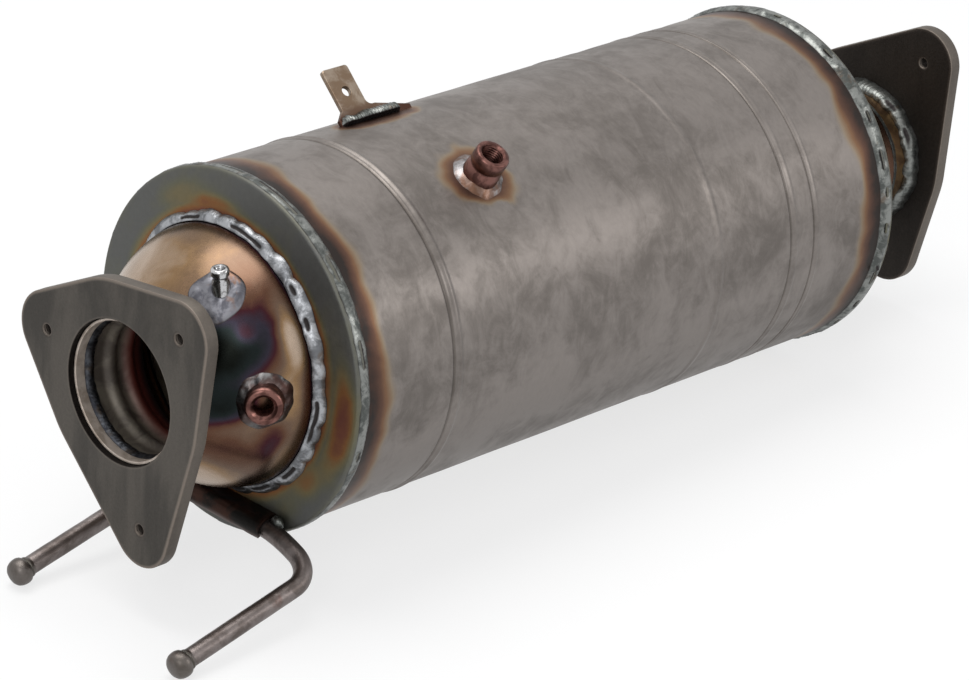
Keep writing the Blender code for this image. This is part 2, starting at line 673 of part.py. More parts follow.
def boss(name, spot, way, radius, height, bore, seat, groove=None):
    """A turned boss that stands on a curved skin, with its lower end cut to fit it."""
    chamfer = radius * BOSS_CHAMFER
    root = -radius
    outside = [(root, radius)]
    if groove is not None:
        width, depth = groove
        middle = height - 2 * width
        outside += [(middle - width / 2, radius), (middle - width / 2, radius - depth),
                    (middle + width / 2, radius - depth), (middle + width / 2, radius)]
    outside += [(height - chamfer, radius), (height, radius - chamfer),
                (height, bore / 2 + chamfer), (height - chamfer, bore / 2), (root, bore / 2)]
    return cut(turned(name, outside, SMALL_STEPS, pointing(spot, way)), seat)


def boss_weld(name, spot, way, radius, reach, seat):
    """A fillet round a boss, trimmed to the skin under it."""
    inner = radius + CLEARANCE
    outer = inner + reach
    root = -outer
    section = bead((root, inner), (reach * BOSS_WELD_RISE, inner), (-reach * BOSS_WELD_SINK, outer),
                   reach * BOSS_WELD_CROWN)
    section.append((root, outer))
    return cut(turned(name, section, SMALL_STEPS, pointing(spot, way)), seat)


def build_bosses(shell_seat, cone_seat):
    spot, way = shell_boss_place()
    boss("shell_sensor_boss", spot, way, SHELL_BOSS_RADIUS, SHELL_BOSS_HEIGHT, SHELL_BOSS_BORE, shell_seat)
    boss_weld("shell_boss_weld", spot, way, SHELL_BOSS_RADIUS, SHELL_BOSS_WELD, shell_seat)

    spot, way = cone_place(*PROBE_PLACE)
    boss("probe_boss", spot, way, PROBE_BOSS_RADIUS, PROBE_BOSS_HEIGHT, PROBE_BOSS_BORE, cone_seat)
    boss_weld("probe_boss_weld", spot, way, PROBE_BOSS_RADIUS, PROBE_BOSS_WELD, cone_seat)

    spot, way = cone_place(*STUB_PLACE)
    boss("pressure_stub", spot, way, STUB_RADIUS, STUB_HEIGHT, STUB_BORE, cone_seat,
         (STUB_GROOVE_WIDTH, STUB_GROOVE_DEPTH))
    boss_weld("stub_weld", spot, way, STUB_RADIUS, STUB_WELD, cone_seat)


def build_catalyst_and_filter():
    """Two ceramic monoliths in fibre mats, and the filter's two wire-mesh retainers."""
    for name, start, end, plugged in (("oxidation_catalyst", CATALYST_START, CATALYST_END, False),
                                      ("filter_monolith", FILTER_START, FILTER_END, True)):
        block = turned(name, ((start, MONOLITH_RADIUS), (end, MONOLITH_RADIUS)), solid=True)
        cut(block, channel_cutter(name + "_channels", start, end, plugged))
    front, rear = FILTER_START + RETAINER_WIDTH, FILTER_END - RETAINER_WIDTH
    for name, start, end in (("catalyst_mat", CATALYST_START + MAT_MARGIN, CATALYST_END - MAT_MARGIN),
                             ("filter_front_retainer", FILTER_START, front),
                             ("filter_mat", front + CLEARANCE, rear - CLEARANCE),
                             ("filter_rear_retainer", rear, FILTER_END)):
        tube(name, start, end, PACKING_INNER, PACKING_OUTER)


def channel_cutter(name, start, end, plugged):
    """Square channels. In the catalyst each one runs through. In the filter each
    one is plugged at one end, and its neighbours at the other."""
    bm = bmesh.new()
    reach = MONOLITH_RADIUS - SKIN_THICKNESS
    count = int(reach / CHANNEL_PITCH)
    half = (CHANNEL_PITCH - CHANNEL_WALL) / 2
    overrun = CHANNEL_WALL
    for row in range(-count, count + 1):
        for column in range(-count, count + 1):
            y, z = column * CHANNEL_PITCH, row * CHANNEL_PITCH
            if sqrt((abs(y) + half) ** 2 + (abs(z) + half) ** 2) > reach:
                continue
            low, high = start - overrun, end + overrun
            if plugged and (row + column) % 2:
                low = start + PLUG_DEPTH
            elif plugged:
                high = end - PLUG_DEPTH
            size = Matrix.Diagonal((high - low, 2 * half, 2 * half, 1.0))
            bmesh.ops.create_cube(bm, size=1.0, matrix=Matrix.Translation(((low + high) / 2, y, z)) @ size)
    return as_cutter(add_object(name, bm))


def build_outlet_pipe():
    place = on_pipe(OUTLET_PIPE_CENTRE)
    start = OUTLET_CONE_END - OUTLET_PIPE_OVERLAP
    end = OUTLET_FLANGE_BACK - PIPE_RECESS
    tube("outlet_pipe", start, end, PIPE_RADIUS - PIPE_WALL, PIPE_RADIUS, PIPE_STEPS, place)
    toe = OUTLET_CONE_END + CLEARANCE
    section = bead((toe, BORE_RADIUS), (toe, CONE_NECK_RADIUS), (toe + PIPE_WELD_WIDTH, BORE_RADIUS),
                   PIPE_WELD_CROWN)
    turned("outlet_pipe_weld", section, PIPE_STEPS, place)
    toe = OUTLET_FLANGE_FRONT - CLEARANCE
    section = bead((toe, BORE_RADIUS), (toe, BORE_RADIUS + OUTLET_COLLAR_HEIGHT),
                   (toe - OUTLET_COLLAR_WIDTH, BORE_RADIUS), OUTLET_COLLAR_CROWN)
    turned("outlet_flange_weld", section, PIPE_STEPS, place)


def tab_outline():
    """The tab bracket seen square on: local X along the shell, local Y up the plate."""
    left, right = -TAB_WIDTH / 2, TAB_WIDTH / 2
    toe = right + TAB_FOOT_LENGTH
    root = -TAB_FOOT_HEIGHT
    outline = [(left - TAB_HEEL, root), (toe, root), (toe, TAB_TOE_HEIGHT)]
    top = TAB_HEIGHT - TAB_CORNER
    outline += arc((right + TAB_FILLET, TAB_FOOT_HEIGHT + TAB_FILLET), TAB_FILLET, (270, 240, 210, 180))
    outline += arc((right - TAB_CORNER, top), TAB_CORNER, (0, 45, 90))
    outline += arc((left + TAB_CORNER, top), TAB_CORNER, (90, 135, 180))
    outline += [(left, TAB_HEEL_HEIGHT + TAB_CORNER), (left - TAB_CORNER, TAB_HEEL_HEIGHT),
                (left - TAB_HEEL, TAB_HEEL_HEIGHT / 2)]
    return outline


def tab_frame():
    """Local X runs along the canister, local Y up the plate, local Z to its front."""
    out, around = radial(TAB_ANGLE), radial(TAB_ANGLE + 90.0)
    lean = radians(TAB_LEAN)
    rise = out * cos(lean) + around * sin(lean)
    along = Vector((1.0, 0.0, 0.0))
    front = along.cross(rise)
    spot = Vector((SHELL_START + TAB_STATION + TAB_WIDTH / 2, 0.0, 0.0)) + out * SHELL_RADIUS
    return Matrix.Translation(spot) @ axes(along, rise, front)


def build_tab(shell_seat):
    frame = tab_frame()
    plate = extruded("tab_bracket", tab_outline(), TAB_THICKNESS, frame)
    through = Matrix.Translation((0.0, TAB_HEIGHT - TAB_HOLE_DROP, -TAB_THICKNESS))
    quarter = Matrix.Rotation(-pi / 2, 4, "Y")
    hole = drill_cutter("tab_hole", TAB_HOLE_DIAMETER / 2, 2 * TAB_THICKNESS, frame @ through @ quarter)
    cut(plate, hole, shell_seat)

    front = TAB_THICKNESS / 2 + CLEARANCE
    drop = TAB_WELD_REACH * tan(radians(TAB_LEAN)) + TAB_WELD_REACH
    section = bead((front, -drop), (front, TAB_WELD_RISE), (front + TAB_WELD_REACH, -drop), TAB_WELD_CROWN)
    lengthwise = axes((0.0, 0.0, 1.0), (0.0, 1.0, 0.0), (-1.0, 0.0, 0.0))
    middle = Matrix.Translation(((TAB_WELD_LENGTH - TAB_WIDTH - TAB_HEEL) / 2, 0.0, 0.0))
    cut(extruded("tab_weld", section, TAB_WELD_LENGTH, frame @ middle @ lengthwise), shell_seat)


def rod_path():
    """Half the hanger's centre line from its middle to an arm's end, as offsets
    from the middle: along X, across and up."""
    droop = radians(ARM_DROOP)
    corner_start = ROD_SPACING / 2 - ROD_BEND
    flat = min(ROD_FLAT, corner_start / 2)
    points = []
    for step in range(ROD_STEPS + 1):
        across = corner_start * step / ROD_STEPS
        bow = max(0.0, across - flat) / (corner_start - flat)
        points.append(Vector((0.0, across, -ROD_SAG * bow ** 2)))
    enter = Vector((0.0, 1.0, -2 * ROD_SAG / (corner_start - flat))).normalized()
    leave = Vector((-cos(droop), 0.0, -sin(droop)))
    start = points[-1]
    corner = start + enter * (ROD_BEND / enter.y)
    end = corner + leave * ROD_BEND
    bend = interpolate_bezier(start, start.lerp(corner, BEND_HANDLE), end.lerp(corner, BEND_HANDLE), end,
                              BEND_POINTS)
    points += bend[1:]
    points.append(corner + leave * ARM_LENGTH)
    return points


def knob_profile():
    """A round-edged knob behind a small neck: distance back from the arm's end, and radius."""
    across = KNOB_RADIUS - KNOB_EDGE
    return ([(KNOB_LENGTH + KNOB_NECK, ROD_RADIUS)]
            + arc((KNOB_LENGTH - KNOB_EDGE, across), KNOB_EDGE, (0, 45, 90))
            + arc((KNOB_EDGE, across), KNOB_EDGE, (90, 135, 180)))


def hanger_rod(name, growth=0.0):
    """The bent rod with a knob on each arm."""
    half = rod_path()
    end, before = half[-1], half[-2]
    inward = (before - end).normalized()
    arm = [(point, ROD_RADIUS + growth) for point in half[:-1]]
    arm += [(end + inward * back, radius + growth) for back, radius in knob_profile()]
    flipped = [(Vector((point.x, -point.y, point.z)), radius) for point, radius in arm]
    whole = flipped[:0:-1] + arm
    middle = Vector((ROD_STATION, ROD_OFFSET, -ROD_DEPTH))
    return swept(name, [middle + point for point, _ in whole], [radius for _, radius in whole])


def saddle_outline():
    """The sheet wrapped over the rod, seen from its end: along X, and up."""
    inner = ROD_RADIUS + 2 * CLEARANCE
    outer = inner + SADDLE_THICKNESS
    edge = INLET_CAP_FACE - CLEARANCE
    rod = (ROD_STATION, -ROD_DEPTH)
    turns = [90.0 + SADDLE_WRAP * step / SADDLE_STEPS for step in range(SADDLE_STEPS + 1)]
    return ([(edge, outer - ROD_DEPTH)] + arc(rod, outer, turns) + arc(rod, inner, reversed(turns))
            + [(edge, inner - ROD_DEPTH)])


def cap_seat_cutter():
    """A block that stands where the inlet cap does, a clearance nearer to the rod."""
    reach = ROD_SPACING
    bm = bmesh.new()
    bmesh.ops.create_cube(bm, size=reach)
    middle = Vector((INLET_CAP_FACE - CLEARANCE + reach / 2, ROD_OFFSET, -ROD_DEPTH))
    return as_cutter(add_object("cap_seat", bm, Matrix.Translation(middle)))


def build_hanger():
    hanger_rod("hanger_rod")
    upright = axes((1.0, 0.0, 0.0), (0.0, 0.0, 1.0), (0.0, -1.0, 0.0))
    middle = Matrix.Translation((0.0, ROD_OFFSET, 0.0))
    extruded("hanger_saddle", saddle_outline(), SADDLE_WIDTH, middle @ upright)

    rod_seat = as_cutter(hanger_rod("rod_seat", CLEARANCE))
    cap_seat = cap_seat_cutter()
    aside = SADDLE_WIDTH / 2 + SADDLE_WELD_RADIUS + CLEARANCE
    for name, side in (("hanger_weld_left", 1.0), ("hanger_weld_right", -1.0)):
        blob = bmesh.new()
        centre = Vector((INLET_CAP_FACE - CLEARANCE - SADDLE_WELD_STAND, ROD_OFFSET + side * aside,
                         SADDLE_WELD_RISE - ROD_DEPTH))
        bmesh.ops.create_icosphere(blob, subdivisions=2, radius=SADDLE_WELD_RADIUS)
        cut(add_object(name, blob, Matrix.Translation(centre)), rod_seat, cap_seat)


def build_part():
    remove_everything()
    build_flanges()
    build_inlet_pipework()
    build_cones()
    build_cone_welds()
    build_caps()
    build_shell()
    build_catalyst_and_filter()
    build_outlet_pipe()
    shell_seat = shell_seat_cutter()
    build_bosses(shell_seat, cone_seat_cutter())
    build_tab(shell_seat)
    build_hanger()


build_part()
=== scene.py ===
"""Dresses a diesel particulate filter in worn, heat-tinted steel and sets up its studio.

Metres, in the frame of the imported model: +X is the gas flow, +Z is up at the
canister, and angles round the axis start at -Y and rise towards +Z.
"""
from math import atan2, cos, degrees, exp, hypot, pi, radians, sin

import bmesh
import bpy
from bpy.props import FloatProperty, FloatVectorProperty, IntProperty, PointerProperty
from mathutils import Matrix, Vector, noise
from mathutils.geometry import interpolate_bezier


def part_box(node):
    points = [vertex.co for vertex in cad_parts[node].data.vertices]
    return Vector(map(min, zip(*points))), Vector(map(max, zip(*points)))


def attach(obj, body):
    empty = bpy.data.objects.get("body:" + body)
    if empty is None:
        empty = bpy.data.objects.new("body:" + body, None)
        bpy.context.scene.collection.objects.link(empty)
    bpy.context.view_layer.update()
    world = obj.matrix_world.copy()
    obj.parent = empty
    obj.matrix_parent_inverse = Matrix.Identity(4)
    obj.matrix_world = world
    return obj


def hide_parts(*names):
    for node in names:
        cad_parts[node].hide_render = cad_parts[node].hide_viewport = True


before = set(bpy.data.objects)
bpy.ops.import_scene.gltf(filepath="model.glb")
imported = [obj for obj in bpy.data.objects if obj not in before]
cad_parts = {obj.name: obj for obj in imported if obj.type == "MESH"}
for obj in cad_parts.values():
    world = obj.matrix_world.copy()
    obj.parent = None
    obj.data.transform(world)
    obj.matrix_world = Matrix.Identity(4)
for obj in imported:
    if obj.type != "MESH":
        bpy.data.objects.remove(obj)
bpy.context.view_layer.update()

bl_info = {
    "name": "Particulate Filter Canister",
    "version": (1, 0, 0),
    "blender": (4, 5, 0),
    "location": "3D View > Sidebar > Canister",
    "description": "Finishes a welded exhaust canister piece by piece and lights it in a studio",
    "category": "Object",
}

MM = 0.001
SHARP_ANGLE = radians(38.0)
BEAD_SHARP = radians(70.0)

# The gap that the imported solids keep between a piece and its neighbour
JOIN_GAP = 0.3 * MM

# Handle length that makes a quarter bend round
ARC_HANDLE = 0.56

# How far on each side of a point its skin is looked for, and in how many halvings
LANDING_REACH = 40.0 * MM
LANDING_HALVINGS = 26


def reach(node, axis):
    """A CAD node's lowest and highest value along one axis."""
    low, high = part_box(node)
    return low[axis], high[axis]


INLET_CAP_FACE = reach("inlet_end_cap", 0)[0]
OUTLET_CAP_FACE = reach("outlet_end_cap", 0)[1]
LIP_RADIUS = reach("inlet_end_cap", 2)[1]
SHELL_START, SHELL_END = reach("shell", 0)
FLANGE_THICKNESS = reach("inlet_flange", 0)[1]
OUTLET_FLANGE_FRONT = reach("outlet_flange", 0)[0]


def pipe_middle(node):
    """Where a pipe's own middle lies across the canister's axis."""
    low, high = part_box(node)
    return Vector((0.0, (low.y + high.y) / 2, (low.z + high.z) / 2))


def outer_radius(node):
    """Outside radius of a round piece."""
    low, high = reach(node, 2)
    return (high - low) / 2


INLET_PIPE = pipe_middle("inlet_sleeve")
OUTLET_PIPE = pipe_middle("outlet_pipe")


def canister_line(x):
    """The middle of a piece on the canister's axis, the same at each station."""
    return Vector()


def inlet_line(x):
    """The middle of a piece on the inlet pipe."""
    return INLET_PIPE


def outlet_line(x):
    """The middle of a piece on the outlet pipe."""
    return OUTLET_PIPE


def length(name, description, millimetres):
    return FloatProperty(name=name, description=description, default=millimetres * MM, min=0.0,
                         precision=5, unit="LENGTH")


def angle(name, description, turn):
    return FloatProperty(name=name, description=description, default=radians(turn), unit="ROTATION")


def colour(name, description, default):
    return FloatVectorProperty(name=name, description=description, default=default, size=3,
                               min=0.0, max=1.0, subtype="COLOR")


class CanisterSizes(bpy.types.PropertyGroup):
    """Sheet, lip and swage sizes of the canister."""
    shell_radius: length("Shell Radius", "Outside of the rolled shell", 95.45)
    sheet: length("Sheet", "Thickness of the shell and cone sheet", 1.5)
    cap_sheet: length("Cap Sheet", "Thickness of the end caps", 2.0)
    lip_depth: length("Lip Depth", "How far a cap's lip reaches along the shell", 5.5)
    lip_corner: length("Lip Corner", "Outside radius of a cap's rolled corner", 1.7)
    lip_drop: length("Lip Drop", "How much lower a cap's lip is than the bead over it", 1.0)
    cap_hole: length("Cap Hole", "Radius of the hole in a cap", 66.0)
    wave: length("Wave", "Depth of the shell's slow unevenness", 0.22)
    steps: IntProperty(name="Steps", description="Points round the canister", default=360, min=48)


class ConeSizes(bpy.types.PropertyGroup):
    """The bell cones' profile."""
    depth: length("Depth", "From the cap's face to the collar's end", 64.4)
    base: length("Base", "Radius where the bell meets the cap", 69.6)
    neck: length("Neck", "Outside radius of the collar", 39.9)
    collar: length("Collar", "Straight length at the neck", 4.2)
    base_ease: length("Base Ease", "Length of the curve's handle at the base", 32.0)
    neck_ease: length("Neck Ease", "Length of the curve's handle at the neck", 11.5)


class FlangeSizes(bpy.types.PropertyGroup):
    """Flange plates, their bores and their threaded stud holes."""
    hub: length("Hub", "Radius round the pipe", 58.0)
    ear: length("Ear", "Radius of an ear", 20.5)
    edge: length("Edge", "Rounding of the plate's edge", 0.9)
    bore: length("Bore", "Radius of the pipe's bore", 38.4)
    stud_hole: length("Stud Hole", "Radius of a threaded hole", 3.4)
    thread_pitch: length("Thread Pitch", "From one thread crest to the next", 1.25)
    thread_depth: length("Thread Depth", "Height of a thread", 0.55)


class WeldSizes(bpy.types.PropertyGroup):
    """The ring beads' legs, and how rough the beads are."""
    bell_leg: length("Bell Leg", "How far a bell's bead reaches along the bell", 5.2)
    bell_rise: length("Bell Rise", "How far a bell's bead reaches up the cap", 4.6)
    rim_lap: length("Rim Lap", "How far a rim's bead reaches over the lip", 3.7)
    rim_leg: length("Rim Leg", "How far a rim's bead reaches along the shell", 4.2)
    pipe_leg: length("Pipe Leg", "How far a pipe's bead reaches along the pipe", 4.4)
    pipe_rise: length("Pipe Rise", "How far a pipe's bead reaches up the flange", 3.6)
    collar_leg: length("Collar Leg", "How far the outlet's collar reaches along the pipe", 8.4)
    collar_rise: length("Collar Rise", "How far the outlet's collar reaches up the flange", 4.6)
    ripple_pitch: length("Ripple Pitch", "From one ripple to the next", 2.3)
    ripple: length("Ripple", "Height of a ripple", 0.14)
    wander: FloatProperty(name="Wander", default=0.16, subtype="FACTOR",
                          description="How far a bead's edges stray, as a share of its width")
    pit: length("Pit", "Depth of the slag pits", 0.9)


class FinishColours(bpy.types.PropertyGroup):
    """Colours of the metals and of the studio."""
    shell_light: colour("Shell Light", "Cleaner sheet", (0.222, 0.200, 0.186))
    shell_dark: colour("Shell Dark", "Dull blotches on the sheet", (0.140, 0.125, 0.115))
    plate_steel: colour("Plate Steel", "Scale on the flange plates", (0.060, 0.055, 0.049))
    # Plate Edge is the bare, worn arris with a painted highlight laid along it
    plate_edge_and_highlight: colour("Plate Edge", "Worn arris of a plate", (0.210, 0.178, 0.152))
    # Weld Slag colours the slag pits, and also lays painted shade along the beads' toes
    weld_slag_and_toe_shade: colour("Weld Slag", "Pits and toes of a bead", (0.038, 0.034, 0.034))
    copper: colour("Copper", "Plating on the sensor bosses", (0.185, 0.090, 0.076))
    rod_steel: colour("Rod Steel", "The hanger's bare rod", (0.190, 0.165, 0.158))
    bright_steel: colour("Bright Steel", "The pressure stub", (0.520, 0.520, 0.530))
    backdrop: colour("Backdrop", "Floor and surroundings", (0.93, 0.93, 0.93))


SETTINGS = {
    "canister_sizes": CanisterSizes,
    "canister_cones": ConeSizes,
    "canister_flanges": FlangeSizes,
    "canister_welds": WeldSizes,
    "canister_colours": FinishColours,
}

# Flange ears: angle and reach from the canister's axis
INLET_EARS = ((-73.9, 74.4 * MM), (45.1, 59.2 * MM), (169.0, 56.7 * MM))
OUTLET_EARS = ((56.4, 74.0 * MM), (-63.2, 64.0 * MM), (178.0, 58.0 * MM))

# Swages rolled into the shell: station, width and height
SWAGES = (
    (SHELL_START + 67.3 * MM, 3.4 * MM, -0.55 * MM),
    (SHELL_START + 71.6 * MM, 5.0 * MM, 0.70 * MM),
    (SHELL_END - 140.7 * MM, 6.0 * MM, 0.40 * MM),
    (SHELL_END - 82.7 * MM, 2.4 * MM, -0.5 * MM),
    (SHELL_END - 78.6 * MM, 4.0 * MM, 0.25 * MM),
    (SHELL_END - 63.7 * MM, 2.0 * MM, -0.7 * MM),
    (SHELL_END - 60.4 * MM, 3.0 * MM, 0.2 * MM),
)

# Spatter on the outlet's rim bead: angle and height
RIM_SPATTER = ((-15.0, 1.8 * MM), (58.0, 1.0 * MM), (94.0, 0.8 * MM))

# Dents in the shell, in millimetres: station, angle, half length, half width and depth. A
# dent fades with the square of the distance times DENT_FALL
DENT_FALL = 1.6
DENTS = (
    (376.0, 117.0, 7.0, 9.0, 1.1),
    (441.0, 119.6, 5.0, 7.0, 0.9),
    (232.0, 20.0, 26.0, 34.0, 0.35),
    (330.0, -12.0, 30.0, 26.0, 0.3),
)

# Heat colours on the bells, and some painted highlights and painted shade: distance from the
# cap, angle, half sizes along and around, and level. Lengths here and in the next tables are in
# millimetres
INLET_BELL_SPOTS = (
    # Painted highlight: pale streak on the upper bell
    (36.0, 128.0, 24.0, 26.0, 0.02),
    (30.0, 100.0, 16.0, 14.0, 0.12),
    (18.0, 84.0, 9.0, 26.0, 0.28),
    (20.0, 56.0, 12.0, 20.0, 0.42),
    (44.0, 62.0, 8.0, 9.0, 0.50),
    # Painted shade: near-black patch beside the flange, its shaded back reflected
    (42.0, 34.0, 24.0, 20.0, 1.0),
    (30.0, 40.0, 6.0, 7.0, 0.66),
    # Painted highlight near the bead
    (12.0, 28.0, 5.5, 17.0, 0.02),
    (17.0, 6.0, 5.0, 12.0, 0.10),
    # Painted shade beside the flange, between the probe boss and the flange
    (46.0, 6.0, 14.0, 12.0, 0.92),
    (38.0, -27.0, 16.0, 12.0, 0.47),
    (23.0, -20.0, 7.0, 12.0, 0.60),
    (14.0, -30.0, 5.0, 16.0, 0.26),
    (40.0, -58.0, 18.0, 14.0, 0.05),
    (30.0, -100.0, 20.0, 22.0, 0.22),
    (38.0, 190.0, 20.0, 26.0, 0.10),
)
OUTLET_BELL_SPOTS = (
    (34.0, 60.0, 22.0, 24.0, 0.10),
    (30.0, 140.0, 20.0, 24.0, 0.20),
    (44.0, -40.0, 20.0, 20.0, 0.55),
    (30.0, 230.0, 20.0, 26.0, 0.12),
)

# Heat colours on the inlet cap: radius, angle, half sizes out and around, and level
CAP_SPOTS = (
    (84.0, 118.0, 7.0, 24.0, 0.30),
    (78.0, 102.0, 5.0, 20.0, 0.62),
    (87.0, -6.0, 9.0, 34.0, 0.74),
    (80.0, -38.0, 8.0, 14.0, 0.58),
    (84.0, -52.0, 8.0, 12.0, 0.22),
)

# Where the sensor boss stands on the shell, and where two more stand on the inlet bell:
# distance from the cap, angle, the angle they aim at, and tilt to the inlet
SENSOR_STATION, SENSOR_ANGLE = 198.1 * MM, 60.0
PROBE_PLACE = (29.4 * MM, 5.2, 5.2, 45.0)
STUB_PLACE = (31.3 * MM, 63.1, 90.0, 9.0)


def radial(turn):
    """The outward direction at an angle round the axis, in degrees."""
    return Vector((0.0, -cos(radians(turn)), sin(radians(turn))))


def turns(steps):
    """Equal steps once round, in radians."""
    return [2 * pi * step / steps for step in range(steps)]


def rough(point, scale, seed=0.0):
    """Smooth noise from -1 to 1 at a point, scale in waves per metre."""
    return noise.noise(Vector(point) * scale + Vector((seed, -seed, 2.0 * seed)))


def eased(value, low, high):
    """Smooth step from 0 at low to 1 at high."""
    t = min(max((value - low) / (high - low), 0.0), 1.0)
    return t * t * (3.0 - 2.0 * t)


def pointing(start, direction):
    """A placement whose local X runs along a direction."""
    turn = Vector((1.0, 0.0, 0.0)).rotation_difference(direction)
    return Matrix.Translation(start) @ turn.to_matrix().to_4x4()


def swage_height(x):
    """Height of the rolled lines above the plain shell at a station."""
    height = 0.0
    for centre, width, crown in SWAGES:
        offset = abs(x - centre) / (width / 2)
        if offset < 1.0:
            height += crown * (0.5 + 0.5 * cos(pi * offset))
    return height


def shell_skin(point):
    """The shell's real radius at a point: swages, dents and slow waves."""
    sizes = bpy.context.scene.canister_sizes
    x, y, z = point
    height = swage_height(x) + sizes.wave * (rough(point, 14.0, 3.1) + 0.4 * rough(point, 45.0, 8.4))
    turn = atan2(z, -y)
    for station, place, half_length, half_width, depth in DENTS:
        across = (turn - radians(place) + pi) % (2 * pi) - pi
        apart = ((x / MM - station) / half_length) ** 2
        apart += (across * sizes.shell_radius / MM / half_width) ** 2
        height -= depth * MM * exp(-apart * DENT_FALL)
    return sizes.shell_radius + height


def cone_profile(points=40):
    """The bell's outside from the cap outwards: distance from the cap, and radius."""
    sizes = bpy.context.scene.canister_cones
    base = Vector((JOIN_GAP, sizes.base))
    neck = Vector((sizes.depth - JOIN_GAP - sizes.collar, sizes.neck))
    curve = interpolate_bezier(base, base + Vector((sizes.base_ease, 0.0)),
                               neck - Vector((sizes.neck_ease, 0.0)), neck, points)
    return [(point[0], point[1]) for point in curve] + [(sizes.depth - JOIN_GAP, sizes.neck)]


CONE_LINE = []


def cone_radius(distance):
    """Radius of the bell at a distance from its cap."""
    if not CONE_LINE:
        CONE_LINE.extend(cone_profile())
    for (near, wide), (far, narrow) in zip(CONE_LINE, CONE_LINE[1:]):
        if distance <= far:
            share = max(distance - near, 0.0) / (far - near)
            return wide + (narrow - wide) * share
    return CONE_LINE[-1][1]


def bell_middle(distance, pipe):
    """Where a bell's middle lies: on the axis at the cap, on its pipe's at the collar."""
    sizes = bpy.context.scene.canister_cones
    return pipe * eased(distance, 0.0, sizes.depth - sizes.collar - JOIN_GAP)


def above_bell(point):
    """Height of a point above the inlet bell's skin."""
    distance = INLET_CAP_FACE - point.x
    middle = bell_middle(distance, INLET_PIPE)
    return hypot(point.y - middle.y, point.z - middle.z) - cone_radius(distance)


def above_shell(point):
    """Height of a point above the shell's skin."""
    return hypot(point.y, point.z) - shell_skin(point)


def landed(point, way, above):
    """Where a line from a point along a direction meets a skin."""
    low, high = -LANDING_REACH, LANDING_REACH
    for _ in range(LANDING_HALVINGS):
        middle = (low + high) / 2
        spot = point + way * middle
        if above(spot) > 0.0:
            high = middle
        else:
            low = middle
    return point + way * low


def skin_way(point, above):
    """The way out of a skin at a point."""
    step = 0.5 * MM
    sides = (Vector((step, 0.0, 0.0)), Vector((0.0, step, 0.0)), Vector((0.0, 0.0, step)))
    return Vector([above(point + side) - above(point - side) for side in sides]).normalized()


class Mesh:
    """Rows of points that become one closed, shaded piece of the object."""

    def __init__(self):
        self.points = []
        self.faces = []
        self.marks = {}

    def row(self, points, **marks):
        start = len(self.points)
        self.points.extend(points)
        for name, values in marks.items():
            self.marks.setdefault(name, {}).update(zip(range(start, start + len(points)), values))
        return list(range(start, start + len(points)))

    def band(self, first, second, wrap=True):
        """Join two rows of the same length with quads."""
        count = len(first)
        for index in range(count if wrap else count - 1):
            after = (index + 1) % count
            self.faces.append((first[index], first[after], second[after], second[index]))

    def skin(self, rows, wrap=True, loop=False):
        """Join rows in order, and the last to the first where the section is closed."""
        pairs = list(zip(rows, rows[1:])) + ([(rows[-1], rows[0])] if loop else [])
        for first, second in pairs:
            self.band(first, second, wrap)

    def cap(self, *rows):
        """Close each row with one face."""
        self.faces.extend(tuple(row) for row in rows)

    def piece(self, name, finish, slot, *nodes, sharp=SHARP_ANGLE):
        """Make the object, let it ride on the part, and stand it in for CAD nodes."""
        mesh = bpy.data.meshes.new(name)
        mesh.from_pydata([tuple(point) for point in self.points], [], self.faces)
        for mark, values in self.marks.items():
            layer = mesh.attributes.new(mark, "FLOAT", "POINT")
            layer.data.foreach_set("value", [values.get(index, 0.0)
                                             for index in range(len(self.points))])
        bm = bmesh.new()
        bm.from_mesh(mesh)
        bmesh.ops.recalc_face_normals(bm, faces=bm.faces)
        bm.to_mesh(mesh)
        bm.free()
        return add_piece(name, mesh, finish, slot, *nodes, sharp=sharp)


def add_piece(name, mesh, finish, slot, *nodes, sharp=SHARP_ANGLE):
    mesh.shade_smooth()
    mesh.set_sharp_from_angle(angle=sharp)
    mesh.materials.append(finish)
    thing = bpy.data.objects.new(name, mesh)
    bpy.context.collection.objects.link(thing)
    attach(thing, "root")
    if nodes:
        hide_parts(*nodes)
    return thing


def circle(x, radius, steps, place=None, shape=None):
    """Points of one ring about X. Shape may move x and radius by angle."""
    points = []
    for turn in turns(steps):
        along, out = shape(x, radius, turn) if shape else (x, radius)
        point = Vector((along, -out * cos(turn), out * sin(turn)))
        points.append(place @ point if place is not None else point)
    return points


def lathe(name, profile, finish, slot, *nodes, steps=180, shape=None, middle=canister_line,
          marks=None):
    """Turn a closed section of (x, radius) points into a ring. Middle gives its centre at x."""
    mesh = Mesh()
    rows = []
    for x, radius in profile:
        points = circle(x, radius, steps, Matrix.Translation(middle(x)), shape)
        values = {mark: [rule(point) for point in points] for mark, rule in (marks or {}).items()}
        rows.append(mesh.row(points, **values))
    mesh.skin(rows, loop=True)
    return mesh.piece(name, finish, slot, *nodes)


def arc(enter, corner, leave, points):
    """A near-circular bend from one point to another round a corner."""
    return interpolate_bezier(enter, enter.lerp(corner, ARC_HANDLE), leave.lerp(corner, ARC_HANDLE),
                              leave, points)


def rounded(start, corner, end, radius, points=4):
    """A profile corner eased by a radius."""
    start, corner, end = Vector(start), Vector(corner), Vector(end)
    enter = corner + (start - corner).normalized() * radius
    leave = corner + (end - corner).normalized() * radius
    return [(point[0], point[1]) for point in arc(enter, corner, leave, points)]


# Ring beads: radius of a drop of spatter, width of a pit across the bead, how fast pits
# deepen along it, and how fast its toes darken, which is partly painted shade at the toe line
SPATTER_RADIUS = 1.6 * MM
PIT_WIDTH = 0.15
PIT_ONSET = 0.16
TOE_FALL = 9.0


